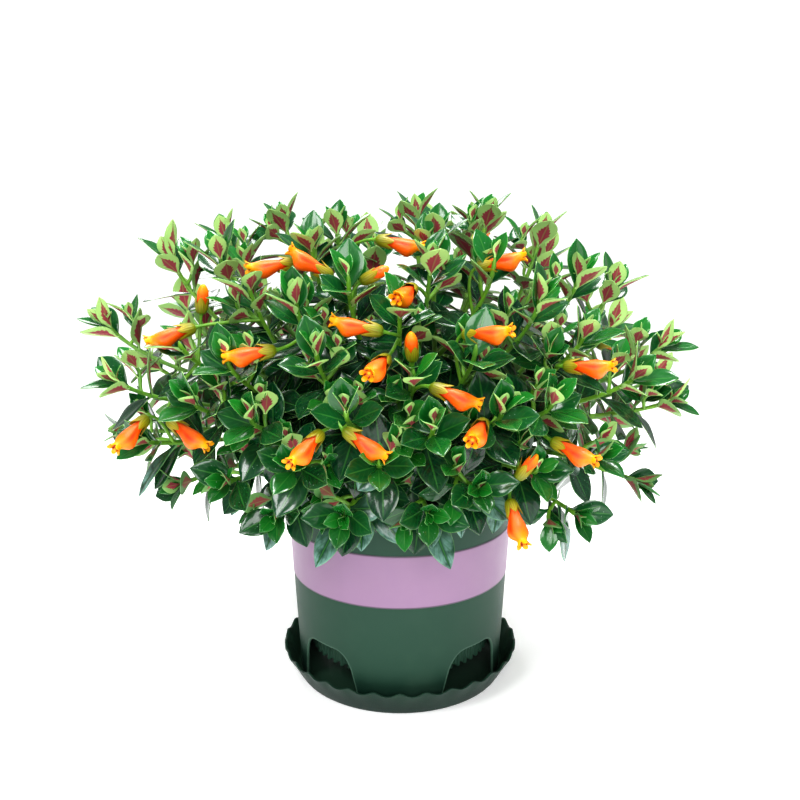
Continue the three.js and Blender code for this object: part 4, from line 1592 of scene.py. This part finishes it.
@dataclass
class Pot(Assembly):
    """The nursery pot: tapered wall, rolled rim, four arched foot slots and a ribbed comb."""

    bottom: float = 1.9
    foot_radius: float = 61.8
    shoulder_radius: float = 68.1
    shoulder_height: float = 121.0
    rim_radius: float = 70.0
    rim_top: float = 128.0
    wall: float = 1.8
    floor_top: float = 36.0
    floor_thickness: float = 2.0
    sides: int = 240
    slot_azimuths: Row = (44.0, 136.0, 224.0, 316.0)
    slot_foot: Row = (24.2, -1.0)
    slot_curve: Rows = ((19.5, 22.0), (16.5, 35.0), (7.0, 35.0))
    lip: float = 0.85
    comb_radius: float = 55.6
    comb_bottom: float = 19.4
    comb_ribs: int = 120
    rib_steps: int = 6
    band: Row = (66.0, 98.0)
    crease: float = 35.0

    def radius(self, height: Array | float) -> Array | float:
        """Returns the outer radius at a height."""
        share = (height - self.bottom) / (self.shoulder_height - self.bottom)
        return self.foot_radius + (self.shoulder_radius - self.foot_radius) * share

    def _inner(self, height: float) -> float:
        """Returns the inner radius at a height."""
        return self.radius(height) - self.wall

    def profile(self) -> Array:
        """Returns radius and height round the pot's section."""
        under = self.floor_top - self.floor_thickness
        line = rounded(
            [
                (0.0, under, 0.0),
                (self._inner(under), under, 1.0),
                (self._inner(self.bottom), self.bottom, 0.5),
                (self.radius(self.bottom), self.bottom, 0.5),
                (self.shoulder_radius, self.shoulder_height, 0.7),
                (self.rim_radius, self.shoulder_height + 1.0, 0.6),
                (self.rim_radius, self.rim_top, 1.5),
                (self.rim_radius - 2.8, self.rim_top, 1.2),
                (self._inner(self.shoulder_height) - 0.2, self.shoulder_height, 1.0),
                (self._inner(self.floor_top), self.floor_top, 1.5),
                (0.0, self.floor_top, 0.0),
            ],
            6,
        )
        return dense(line, 6.0)

    def _slot_path(self, step: float) -> Array:
        """Draws a slot's outline.

        Args:
            step: The farthest that its points may lie apart.

        Returns:
            Rows of aside and height, from foot to foot.
        """
        start, hold, end = (np.array(point) for point in self.slot_curve)
        t = np.linspace(0.0, 1.0, 14)[:, None]
        right = np.concatenate([[self.slot_foot], arc(start, hold, end, t)])
        return dense(np.concatenate([right * [-1.0, 1.0], right[::-1]]), step)

    def _cut_slots(self, shell: bpy.types.Object) -> None:
        """Cuts the four arched slots.

        Args:
            shell: The pot's shell.
        """
        aside, height = self._slot_path(2.5).T
        depths = (self.rim_radius + 6.0, self.comb_radius + 1.0)
        loops = np.array([columns(aside, -depth, height) for depth in depths])
        cutter = Skin()
        for azimuth in self.slot_azimuths:
            cutter.add_rings(azimuth_turn(loops, azimuth))
        tool = cutter.made("slot_cutter", [])
        change = shell.modifiers.new("slots", "BOOLEAN")
        change.operation = "DIFFERENCE"
        change.solver = "EXACT"
        change.object = tool
        evaluated = shell.evaluated_get(bpy.context.evaluated_depsgraph_get())
        cut = bpy.data.meshes.new_from_object(evaluated)
        shell.modifiers.clear()
        plain, shell.data = shell.data, cut
        for mesh in (plain, tool.data):
            bpy.data.meshes.remove(mesh)
        cut.name = shell.name
        cut.shade_smooth()
        cut.set_sharp_from_angle(angle=math.radians(self.crease))

    def build(self) -> None:
        """Builds the pot."""
        self._build_shell()
        self._build_lips()
        self._build_comb()
        self._build_band()

    def _build_shell(self) -> None:
        """Builds the slotted wall with its floor and rim."""
        skin = Skin()
        skin.add_rings(lathed(self.profile()[1:-1], self.sides))
        shell = skin.made("pot_shell", [self.kit.plastic], self.crease)
        self._cut_slots(shell)
        self.dresser.wear(shell, "plastic", "pot")

    def _build_lips(self) -> None:
        """Builds the rounded bead that runs round each slot."""
        outline = self._slot_path(1.6)
        aside, height = outline[outline[:, 1] > self.bottom + 0.4].T
        middle = self.radius(height) - self.wall * 0.42
        path = columns(aside, -np.sqrt(middle**2 - aside**2), height)
        skin = Skin()
        for azimuth in self.slot_azimuths:
            radii = np.full(len(path), self.lip)
            tube = Tube(azimuth_turn(path, azimuth), radii, 10)
            # The bead is lifted out of the painted shade and carries a painted highlight along it.
            tube.put(skin, 0, "plastic_place", np.array([0.0, 1.0, 0.28]))
        self.dresser.wear(skin.made("pot_slot_lips", [self.kit.plastic]), "plastic")

    def _build_comb(self) -> None:
        """Builds the ribbed skirt that shows behind the slots."""
        steps = self.comb_ribs * self.rib_steps
        azimuth = turns(steps)
        rib = np.clip(np.cos(azimuth * self.comb_ribs) * 1.6, -1.0, 1.0)
        tooth = np.clip(np.cos(azimuth * self.comb_ribs / 2) * 2.0, -1.0, 1.0)
        under = self.floor_top - self.floor_thickness
        rings = []
        for inset, height, ribbed, toothed in (
            (2.9, under + 0.4, 0, 0),
            (2.9, self.comb_bottom + 1.2, 0, 1),
            (2.3, self.comb_bottom + 0.6, 0, 1),
            (0.7, self.comb_bottom + 0.6, 1, 1),
            (0.2, self.comb_bottom + 1.2, 1, 1),
            (0.2, under - 2.0, 1, 0),
            (0.2, under + 0.4, 1, 0),
        ):
            radius = self.comb_radius - inset + ribbed * 0.65 * (rib - 1.0)
            x, y = radius * np.sin(azimuth), -radius * np.cos(azimuth)
            rings.append(columns(x, y, height + toothed * tooth))
        skin = Skin()
        # The comb is lifted out of the painted shade and carries a faint painted highlight.
        skin.add_rings(np.array(rings), looped=True, plastic_place=[0.0, 1.0, 0.06])
        self.dresser.wear(skin.made("pot_comb", [self.kit.plastic], 50.0), "plastic")

    def _film(self, height: float, proud: float) -> Row:
        """Returns the radius and the height of the film at a height, proud of the wall."""
        return self.radius(height) + proud, height

    def _build_band(self) -> None:
        """Builds the plain printed band, a film over the wall."""
        low, high = self.band
        heights = dense(np.array([[0.0, low], [0.0, high]]), 2.0)[1:-1, 1]
        profile = [
            self._film(low, -0.4),
            self._film(low, 0.1),
            self._film(low + 0.12, 0.2),
            *(self._film(height, 0.2) for height in heights),
            self._film(high - 0.12, 0.2),
            self._film(high, 0.1),
            self._film(high, -0.4),
        ]
        skin = Skin()
        skin.add_rings(lathed(profile, self.sides), looped=True)
        self.dresser.wear(skin.made("pot_band", [self.kit.ink], 50.0), "plastic")


@dataclass
class SoilBed(Assembly):
    """Lumpy potting soil with loose crumbs on top."""

    top: float = 118.0
    bottom: float = 100.0
    radius: float = 65.9
    sides: int = 96
    rings: int = 34
    crumbs: int = 420

    def height(self, x: float, y: float) -> float:
        """Finds the height of the soil's surface.

        Args:
            x: The place.
            y: Its other coordinate.

        Returns:
            The height.
        """
        coarse = noise.noise(Vector((x * 0.055, y * 0.055, 3.1)))
        fine = noise.noise(Vector((x * 0.24, y * 0.24, 7.7)))
        dome = 1.6 * (1.0 - math.hypot(x, y) / self.radius)
        return self.top + dome + 1.7 * coarse + 0.8 * fine

    def build(self) -> None:
        """Builds the bed and its crumbs."""
        profile = [(self.radius, self.bottom), (self.radius, self.top - 1.0)]
        shares = 1.0 - (np.arange(1, self.rings + 1) / (self.rings + 0.6)) ** 1.15
        profile += [(self.radius * share, self.top) for share in shares]
        rings = lathed(profile, self.sides)
        for point in rings[1:].reshape(-1, 3):
            edge = 0.35 if math.hypot(point[0], point[1]) > self.radius - 0.5 else 0.0
            point[2] = self.height(point[0], point[1]) - edge
        skin = Skin()
        skin.add_rings(rings)
        self.dresser.wear(skin.made("soil_bed", [self.kit.soil], 80.0), "soil", "soil")
        self.dresser.wear(self._crumbs().made("soil_crumbs", [self.kit.soil], 80.0), "soil")

    def _crumbs(self) -> Skin:
        """Returns irregular crumbs that lie half sunk in the surface."""
        ball = bmesh.new()
        bmesh.ops.create_icosphere(ball, subdivisions=2, radius=1.0)
        corners = np.array([vertex.co for vertex in ball.verts])
        faces = [[vertex.index for vertex in face.verts] for face in ball.faces]
        ball.free()
        draws = Draws(811)
        skin = Skin()
        for _ in range(self.crumbs):
            reach = (self.radius - 4.0) * math.sqrt(draws.next())
            angle = draws.between(0.0, 2.0 * math.pi)
            x, y = reach * math.cos(angle), reach * math.sin(angle)
            size = draws.between(0.5, 1.5) ** 1.5 * 0.9
            shift = Vector((draws.between(0, 90), draws.between(0, 90), draws.between(0, 90)))
            lumps = [1.0 + 0.42 * noise.noise(Vector(corner) * 1.3 + shift) for corner in corners]
            squash = np.array([draws.between(0.8, 1.3), draws.between(0.8, 1.3), 0.75])
            lump = corners * np.array(lumps)[:, None] * squash * size
            skin.add(lump + [x, y, self.height(x, y) + size * 0.25], faces)
        return skin


# The plants and their flowers


@dataclass(frozen=True)
class Plant:
    """One rooted plant: where it stands, the height of its trunk and the tips of its shoots."""

    number: int
    root: Row
    trunk: float
    tips: Rows

    @property
    def label(self) -> str:
        """Its number as names give it."""
        return f"{self.number:02d}"

    @property
    def node(self) -> str:
        """Its CAD node."""
        return f"leafy_plant_{self.label}"

    def shoots(self) -> list[Shoot]:
        """Returns its shoots: the lowest leaves the trunk lowest, the highest at its top."""
        tips = sorted(self.tips, key=itemgetter(2))
        grown = []
        for i, tip in enumerate(tips):
            height = lerp(HABIT.first_fork, self.trunk, i / (len(tips) - 1))
            root = np.array([*self.root, height], float)
            seed = 100 * (self.number - 1) + i + 1
            grown.append(Shoot(self.number, root, np.array(tip, float), seed))
        return grown


PLANTS = (
    Plant(1, (0, -46), 152, (
        (38, -111, 152), (15, -115, 180), (14, -108, 138), (6, -107, 202), (-10, -117, 165),
        (-25, -113, 187), (-28, -108, 136),
    )),
    Plant(2, (35, -32), 156, (
        (47, -107, 185), (66, -104, 158), (72, -97, 187), (100, -85, 160), (92, -82, 128),
        (90, -75, 215), (120, -65, 195),
    )),
    Plant(3, (47, 0), 156, (
        (150, -32, 176), (135, -32, 130), (144, -28, 205), (120, -6, 233), (152, 10, 180),
        (130, 35, 205), (130, 38, 150),
    )),
    Plant(4, (34, 34), 154, (
        (112, 68, 170), (88, 95, 185), (60, 113, 160), (92, 78, 215), (80, 98, 140),
    )),
    Plant(5, (-2, 47), 154, (
        (25, 122, 170), (-15, 124, 190), (5, 122, 145), (15, 108, 212), (-42, 118, 160),
    )),
    Plant(6, (-35, 33), 154, (
        (-72, 110, 185), (-100, 95, 155), (-122, 70, 190), (-92, 82, 215), (-70, 112, 145),
    )),
    Plant(7, (-47, 0), 158, (
        (-150, -55, 192), (-166, -10, 214), (-156, -25, 158), (-152, 28, 185), (-135, 50, 215),
        (-138, 50, 150),
    )),
    Plant(8, (-35, -33), 156, (
        (-50, -115, 163), (-70, -105, 182), (-82, -95, 207), (-85, -100, 152), (-100, -90, 187),
        (-110, -76, 214), (-130, -75, 165), (-62, -98, 134), (-118, -62, 138),
    )),
    Plant(9, (2, -20), 182, (
        (0, -90, 232), (35, -100, 212), (-25, -80, 242), (15, -68, 250), (47, -62, 250),
        (68, -75, 232), (-39, -102, 211),
    )),
    Plant(10, (21, 3), 196, (
        (93, -42, 240), (82, 10, 265), (50, 8, 276), (88, 50, 242), (50, 50, 266), (20, -25, 268),
    )),
    Plant(11, (0, 22), 190, (
        (10, 18, 276), (20, 62, 260), (-20, 78, 250), (48, 85, 240), (-56, 76, 243),
    )),
    Plant(12, (-22, 1), 200, (
        (-130, 0, 250), (-100, 8, 260), (-46, -48, 262), (-68, 22, 272), (-34, -28, 270),
        (-95, -35, 250), (-105, 48, 240), (-50, -84, 232), (-74, -72, 238),
    )),
)
BUDS = (3, 4, 13, 22)
# Each flower's foot, and the azimuth and rise of its mouth in degrees.
BLOOM_ROWS = (
    ((-54, -55, 256), -70, -5), ((-34, -70, 250), -87, 33), ((-20, -74, 248), 95, 27),
    ((-102, -66, 231), 35, 73), ((-104, -71, 225), -72, -15), ((-60, -97, 218), -78, -6),
    ((-8, -98, 227), -90, 12), ((-6, -106, 216), -20, -8), ((7, -78, 246), -20, -6),
    ((-13, -42, 267), 87, -10), ((39, -60, 254), 84, 14), ((30, -95, 225), 66, 8),
    ((6, -106, 214), -10, 70), ((14, -111, 203), 80, -18), ((40, -112, 186), -17, -7),
    ((-129, -80, 180), -33, -27), ((-117, -88, 181), 72, -30), ((-37, -116, 182), -35, -23),
    ((-27, -116, 183), 67, -26), ((74, -103, 174), 52, -14), ((81, -88, 208), 64, 5),
    ((57, -109, 156), 81, 54), ((54, -107, 145), 15, -41), ((-60, 100, 228), -150, -5),
    ((10, 118, 205), 165, -15), ((75, 95, 200), 130, 5), ((-110, 80, 205), -115, -10),
    ((125, 50, 195), 100, -20), ((45, 75, 256), 150, 15), ((40, 118, 165), 150, -35),
)
BLOOMS = tuple(
    Bloom(number, *row, Stage.BUD if number in BUDS else Stage.OPEN)
    for number, row in enumerate(BLOOM_ROWS, 1)
)


@dataclass(frozen=True)
class Hanging:
    """A big leaf that hangs over the pot's rim: the foot of its stalk, its tip and its width."""

    foot: Row
    tip: Row
    width: float


HANGING = tuple(
    Hanging(*row)
    for row in (
        ((22, -92, 135), (26, -104, 106), 14.0), ((-33, -90, 135), (-46, -101, 107), 14.0),
        ((8, -94, 140), (17, -105, 119), 14.0), ((-8, -88, 138), (2, -98, 118), 12.0),
        ((-13, -82, 131), (-21, -91, 111), 14.5), ((-59, -84, 126), (-72, -88, 111), 13.5),
        ((27, -84, 134), (34, -92, 119), 11.5), ((46, -78, 132), (51, -86, 111), 15.0),
        ((33, -98, 143), (55, -104, 134), 14.0), ((-33, -96, 140), (-8, -104, 139), 14.0),
        ((1, -102, 152), (-21, -108, 151), 13.5), ((-49, -96, 145), (-66, -100, 131), 14.5),
        ((96, -60, 127), (93, -68, 96), 16.0), ((-122, -62, 150), (-144, -66, 133), 14.0),
        ((120, -38, 136), (148, -40, 126), 14.0), ((-68, -84, 144), (-89, -88, 131), 14.0),
        ((98, 30, 132), (108, 36, 106), 14.0), ((74, 78, 134), (84, 90, 108), 14.5),
        ((40, 94, 138), (42, 108, 110), 14.0), ((4, 100, 138), (-6, 112, 112), 14.0),
        ((-34, 96, 142), (-44, 108, 114), 13.5), ((-70, 82, 138), (-82, 92, 110), 14.5),
        ((-102, 36, 136), (-114, 44, 110), 14.0), ((-98, -20, 136), (-112, -24, 108), 14.0),
    )
)


@dataclass
class Leaf:
    """A placed leaf with the shoot that bears it and the maroon on its lower face."""

    pose: Pose
    shoot: Shoot
    blush: float


@dataclass
class Foliage(Assembly):
    """All the rooted plants: finds room for their leaves, then builds and dresses them."""

    blade: Blade = field(default_factory=Blade)
    calyx: Calyx = field(default_factory=Calyx)
    corolla: Corolla = field(default_factory=Corolla)
    room: Room = field(default_factory=partial(Room, 2.0))
    glades: Room = field(default_factory=partial(Room, 4.5))
    tips: dict[int, KDTree] = field(default_factory=dict)
    shoots: list[Shoot] = field(default_factory=list)
    leaves: list[Leaf] = field(default_factory=list)
    carriers: dict[int, tuple[Shoot, float]] = field(default_factory=dict)
    missing: list[Seat] = field(default_factory=list)
    sprouts: list[Shoot] = field(default_factory=list)

    HIDING = 5
    SQUEEZED = 2
    YOUNG_CROWD = 12
    LOWER_CROWD = 3
    BARE_ROOT = 14.0
    BLOOM_SECTION = ((0.0, 0.0), (3.0, 0.0), (-3.0, 0.0), (0.0, 3.0), (0.0, -3.5))
    GLADE_DEPTHS = (6.0, 13.0, 21.0)
    SPROUT_SEATS = (14.0, 23.0, 33.0, 46.0)
    SPROUT_LENGTH = 15.0
    SPROUT_CROWD = 9
    SPROUT_WAYS = 8
    OUTER_HEIGHT = 236.0
    OUTER_ASIDE = 112.0
    LONGEST = 37.0
    # The age of the hanging leaves; past 1 it gives them the painted silvery sheen.
    OLD = 1.4
    TIP_SLACK = 0.0002
    SOLID_HALF = 0.4
    STEM_RADII = (1.6, 1.05)
    STEM_STEP = 2.6
    TRUNK_RADIUS = 2.4
    TRUNK_FOOT = 98.0

    def build(self) -> None:
        """Grows the plants and builds them with their flowers."""
        self._grow()
        for plant in PLANTS:
            self._build_plant(plant)
        self._build_blooms()

    def _grow(self) -> None:
        """Places the leaves of every plant.

        The tips of the plain leaves in the CAD say which of its tried poses a leaf takes.
        """
        for plant in PLANTS:
            self.shoots += plant.shoots()
            self.tips[plant.number] = self._tips(self.dresser.nodes[plant.node])
        for bloom in BLOOMS:
            self.carriers[bloom.number] = bloom.carrier(self.shoots)
            self._clear(bloom)
        self._fill(GROWN_PAIRS, self._match)
        for seat in self.missing:
            self._squeeze(seat, self.SQUEEZED)
        self._fill(YOUNG_PAIRS, partial(self._squeeze, allowed=self.YOUNG_CROWD))
        for hanging in HANGING:
            self._hang(hanging)
        self._fill(LOWER_PAIRS, partial(self._squeeze, allowed=self.LOWER_CROWD))
        for shoot in self.shoots:
            self._sprout(shoot)
        counts = len(self.leaves), len(self.sprouts), len(self.missing)
        LOG.info("leaves: %d, sprouts: %d, leaves missing in the CAD: %d", *counts)

    def _clear(self, bloom: Bloom) -> None:
        """Takes the room of a flower, and the glades that let it be seen.

        Args:
            bloom: The flower.
        """
        along = np.linspace(1.0, 26.0 if bloom.stage is Stage.OPEN else 16.0, 8)
        for x, y in self.BLOOM_SECTION:
            self.room.take(bloom.ring(along, x, y))
        outward = unit(unit(bloom.foot * [1.0, 1.0, 0.0]) + 0.35 * UP)
        middle = bloom.ring(along, 0.0, 0.0)
        for depth in self.GLADE_DEPTHS:
            self.glades.take(middle + outward * depth)
            if bloom.foot[1] < 0.0:
                forward = outward * [0.3, 0.3, 0.5] - [0.0, 1.0, 0.0]
                self.glades.take(middle + forward * depth)

    def _tips(self, node: bpy.types.Object) -> KDTree:
        """Makes the corners of a CAD node ready to be searched.

        Args:
            node: The node.

        Returns:
            Its corners in a tree.
        """
        tree = KDTree(len(node.data.vertices))
        for vertex in node.data.vertices:
            tree.insert(vertex.co, vertex.index)
        tree.balance()
        return tree

    def _fill(self, pairs: Sequence[Pair], place: Callable[[Seat], None]) -> None:
        """Goes through the leaves of pairs on every shoot that reaches down to them.

        Args:
            pairs: The pairs, the outermost first.
            place: Called with the seat of each leaf.
        """
        for pair in pairs:
            for shoot in self.shoots:
                if pair.below < shoot.length - self.BARE_ROOT:
                    for side in pair.sides:
                        place(Seat(shoot, pair, side))

    def _match(self, seat: Seat) -> None:
        """Places a grown leaf in the pose that its plain solid has, if it has one.

        Args:
            seat: Where the leaf springs.
        """
        corners = self.tips[seat.shoot.plant]
        for pose in seat.tries():
            half = pose.face * self.SOLID_HALF
            faces = (pose.spine(1.0) + half, pose.spine(1.0) - half)
            if any(corners.find(Vector(point * MM))[2] < self.TIP_SLACK for point in faces):
                self._place(seat.shoot, pose)
                return
        self.missing.append(seat)

    def _crowd(self, pose: Pose) -> int:
        """Returns how crowded a pose is, and more if it would hide a flower."""
        feelers = pose.feelers()
        return self.room.crowding(feelers) + self.HIDING * self.glades.crowding(feelers)

    def _squeeze(self, seat: Seat, allowed: int) -> None:
        """Places a leaf in the least crowded of the poses that it tries, if there is room.

        Args:
            seat: Where the leaf springs.
            allowed: How crowded the pose may be.
        """
        tried = seat.tries()
        crowd = [self._crowd(pose) for pose in tried]
        best = int(np.argmin(crowd))
        if crowd[best] <= allowed:
            self._place(seat.shoot, tried[best])

    def _hang(self, hanging: Hanging) -> None:
        """Places a leaf that hangs over the pot, on the stem that passes nearest its foot.

        Args:
            hanging: The leaf.
        """
        foot, tip = np.array(hanging.foot), np.array(hanging.tip)
        seats = []
        for number, shoot in enumerate(self.shoots):
            for below in range(9, int(min(shoot.length, 60.0))):
                place = shoot.at(below)[0]
                seats.append((float(np.sum((place - foot) ** 2)), number, below))
        _, number, below = min(seats)
        shoot = self.shoots[number]
        place = shoot.at(below)[0]
        way = tip - place
        length = min(float(np.linalg.norm(way)), self.LONGEST)
        direction = unit(way)
        face = square_to(unit(tip * [1.0, 1.0, 0.0]) + 0.5 * UP, direction)
        width = hanging.width / self.blade.breadth
        self._place(shoot, Pose(place, direction, face, length, width, self.OLD))

    def _sprout(self, shoot: Shoot) -> None:
        """Grows side sprouts where a shoot's outer part has room for them.

        Args:
            shoot: The shoot.
        """
        outer = shoot.points[-1][2] > self.OUTER_HEIGHT or shoot.aside > self.OUTER_ASIDE
        most = 1 if outer else 2
        grown = 0
        for below in self.SPROUT_SEATS:
            if grown == most or below > shoot.length - 16.0:
                return
            root, along = shoot.at(below)
            across, lift = shoot.frame(along)
            tried = []
            for turn in range(self.SPROUT_WAYS):
                angle = math.radians(45.0 * turn + 22.5)
                outward = across * math.cos(angle) + lift * math.sin(angle)
                way = unit(0.8 * outward + 0.35 * along + 0.6 * UP)
                seed = 9000 + 97 * len(self.sprouts) + turn
                sprout = Shoot(shoot.plant, root, root + way * self.SPROUT_LENGTH, seed, 5.0)
                poses = [sprout.tries(pair, s)[0] for pair in SPROUT_PAIRS for s in pair.sides]
                crowd = sum(self._crowd(pose) for pose in poses)
                tried.append((crowd, sprout, poses))
            crowd, sprout, poses = min(tried, key=itemgetter(0))
            if crowd <= self.SPROUT_CROWD:
                grown += 1
                self.sprouts.append(sprout)
                for pose in poses:
                    self._place(sprout, pose)

    def _place(self, shoot: Shoot, pose: Pose) -> None:
        """Adds a leaf and fills its room.

        Args:
            shoot: The shoot that bears it.
            pose: Its pose.
        """
        self.room.take(pose.feelers())
        high = float(smooth(140.0, 195.0, shoot.points[-1][2]))
        blush = lerp(0.5, 1.0, high) * shoot.own_draws.between(0.75, 1.1) * lerp(1.0, 0.6, pose.age)
        self.leaves.append(Leaf(pose, shoot, min(1.0, blush + 0.15)))

    def _build_plant(self, plant: Plant) -> None:
        """Builds the leaves, the stems and the calyces of one plant.

        Args:
            plant: The plant.
        """
        leaves = Skin()
        for index, leaf in enumerate(self.leaves):
            if leaf.shoot.plant == plant.number:
                self.blade.put(leaves, leaf.pose, Draws(index * 7 + 3), leaf.blush)
        stems = Skin()
        self._put_trunk(stems, plant)
        for shoot in (*self.shoots, *self.sprouts):
            if shoot.plant == plant.number:
                self._put_stem(stems, shoot)
        for bloom in BLOOMS:
            carrier, below = self.carriers[bloom.number]
            if carrier.plant == plant.number:
                self.calyx.put_stalk(stems, bloom, carrier.at(below)[0])
                self.calyx.put(stems, bloom, Draws(bloom.number * 31))
        for kind, skin, finishes in (
            ("leaves", leaves, [self.kit.leaf]),
            ("stems", stems, [self.kit.stem, self.kit.sepal]),
        ):
            piece = skin.made(f"plant_{plant.label}_{kind}", finishes, 60.0)
            self.dresser.wear(piece, "foliage", plant.node)

    def _put_trunk(self, skin: Skin, plant: Plant) -> None:
        """Adds the woody trunk of a plant.

        Args:
            skin: What it is added to.
            plant: The plant.
        """
        heights = np.arange(self.TRUNK_FOOT, plant.trunk + 3.1, 2.5)
        draws = Draws(plant.number * 17)
        phase = draws.between(0.0, 6.28)
        path = columns(*plant.root, heights)
        knots = 0.16 * np.cos(heights * 0.62 + phase) + 0.1 * np.sin(heights * 1.7 + phase)
        flare = 0.5 * smooth(126.0, 116.0, heights)
        radii = self.TRUNK_RADIUS - 0.1 + knots + flare
        radii[-1] *= 0.6
        wood = 1.0 - 0.75 * smooth(126.0, plant.trunk, heights)
        values = columns(wood, draws.next(), 0.0)
        Tube(path, radii, 12).put(skin, 0, "stem_place", values)

    def _put_stem(self, skin: Skin, shoot: Shoot) -> None:
        """Adds the stem of a shoot, a little swollen where its leaves spring.

        Args:
            skin: What it is added to.
            shoot: The shoot.
        """
        end = -shoot.soft
        even = np.arange(shoot.length, end + self.STEM_STEP, -self.STEM_STEP)
        below = np.concatenate([even, end + np.array([2.0, 1.2, 0.5, 0.0])])
        path = np.array([shoot.at(b)[0] for b in below])
        share = np.clip(1.0 - below / shoot.length, 0.0, 1.0)
        young = shoot in self.sprouts
        radii = lerp(self.STEM_RADII[int(young)], self.STEM_RADII[1] - 0.15 * young, share)
        pairs = SPROUT_PAIRS if young else (*YOUNG_PAIRS, *GROWN_PAIRS, *LOWER_PAIRS)
        for pair in pairs:
            radii += 0.28 * np.exp(-(((below - shoot.seat(pair)) / 1.7) ** 2))
        radii *= 0.35 + 0.65 * smooth(end - 0.5, end + 3.0, below)
        wood = 0.62 * smooth(150.0, 128.0, path[:, 2]) * (1.0 - share)
        values = columns(wood, shoot.own_draws.next(), share)
        Tube(path, radii, 9).put(skin, 0, "stem_place", values)

    def _build_blooms(self) -> None:
        """Builds the corollas and buds."""
        for bloom in BLOOMS:
            skin = Skin()
            self.corolla.put(skin, bloom, Draws(bloom.number * 13 + 5))
            kind = "corolla" if bloom.stage is Stage.OPEN else "closed_bud"
            piece = skin.made(f"{kind}_{bloom.number:02d}", [self.kit.petal], 50.0)
            self.dresser.wear(piece, "petal", bloom.node)


# The studio


@dataclass(frozen=True)
class Lamp:
    """A soft rectangular light: its place, its size in metres and its power in watts."""

    name: str
    place: Row
    size: float
    power: float

    TARGET = Vector((0.0, 0.0, 0.16))

    def hang(self) -> None:
        """Adds the light, turned towards the object."""
        lamp = bpy.data.lights.new(self.name, "AREA")
        lamp.shape = "SQUARE"
        lamp.size = self.size
        lamp.energy = self.power
        holder = linked(self.name, lamp)
        holder.location = self.place
        holder.rotation_mode = "QUATERNION"
        way = self.TARGET - Vector(self.place)
        holder.rotation_quaternion = way.to_track_quat("-Z", "Y")


@dataclass(frozen=True)
class Studio:
    """A pale floor, soft lights and the photograph's camera."""

    camera_place: Row = (0.0, -0.56, 0.305)
    pitch_down: float = 13.6
    lens: float = 43.65
    sensor: float = 36.0
    floor_radius: float = 1.3
    floor_solid: float = 0.3
    floor_colour: Row = linear(250, 250, 250)
    floor_shade: Row = linear(246, 246, 247)
    floor_glow: float = 0.2
    horizon: float = 0.45
    zenith: float = 0.3
    lamps: tuple[Lamp, ...] = (
        Lamp("key", (-0.6, -0.8, 1.0), 0.4, 7.2),
        Lamp("fill", (0.95, -0.75, 0.6), 0.6, 1.8),
        Lamp("front", (0.1, -1.15, 0.66), 0.6, 8.5),
        Lamp("crown", (0.15, 0.0, 1.35), 0.55, 24.0),
        Lamp("rear", (-0.5, 1.05, 0.75), 0.6, 5.0),
    )

    def build(self) -> None:
        """Builds the studio."""
        self._lay_floor()
        for lamp in self.lamps:
            lamp.hang()
        scene = bpy.context.scene
        scene.world = self._sky()
        scene.view_settings.view_transform = "Standard"
        scene.view_settings.look = "Medium High Contrast"
        data = bpy.data.cameras.new("photo_camera")
        data.lens = self.lens
        data.sensor_width = self.sensor
        camera = linked("photo_camera", data)
        camera.location = self.camera_place
        camera.rotation_euler = (math.radians(90.0 - self.pitch_down), 0.0, 0.0)
        scene.camera = camera

    def _sky(self) -> bpy.types.World:
        """Returns a white background whose own light is soft, and dim overhead."""
        world = bpy.data.worlds.new("studio")
        world.use_nodes = True
        graph = Graph(world.node_tree)
        _, _, height = graph.parts(graph.node("ShaderNodeTexCoord", {}, {}, "Generated"))
        glow = self.zenith + (self.horizon - self.zenith) * height.step(0.42, 0.18)
        seen = graph.node("ShaderNodeLightPath", {}, {}, "Is Camera Ray")
        strength = glow + (1.0 - glow) * seen
        background = world.node_tree.nodes["Background"]
        background.inputs["Color"].default_value = WHITE
        graph.feed(background.inputs["Strength"], strength)
        return world

    def _lay_floor(self) -> None:
        """Adds the floor just under the saucer, which fades into the white of the horizon."""
        rim = turns(96)
        reach = self.floor_radius / MM
        points = columns(reach * np.cos(rim), reach * np.sin(rim), -0.05)
        skin = Skin()
        skin.add(points, [range(len(points))])
        shader = Shader("studio_floor")
        x, y, _ = shader.heights()
        away = (x * x + y * y) ** 0.5
        colour = shader.blend(self.floor_colour, (self.floor_shade, shader.cloud(3.0)))
        shader.feed(shader.surface.inputs["Alpha"], away.step(self.floor_radius, self.floor_solid))
        glow = {"Emission_Color": WHITE, "Emission_Strength": self.floor_glow}
        floor = shader.finish(colour, 0.9, **glow)
        skin.made("studio_floor", [floor])


def main() -> None:
    """Builds the object and its studio."""
    logging.basicConfig(level=logging.INFO, format="%(name)s: %(message)s")
    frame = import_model()
    kit = Kit.made()
    dresser = Dresser(BODY, frame["nodes"])
    for assembly in (Saucer, Pot, SoilBed, Foliage):
        assembly(dresser, kit).build()
    Studio().build()


if __name__ == "__main__":
    main()
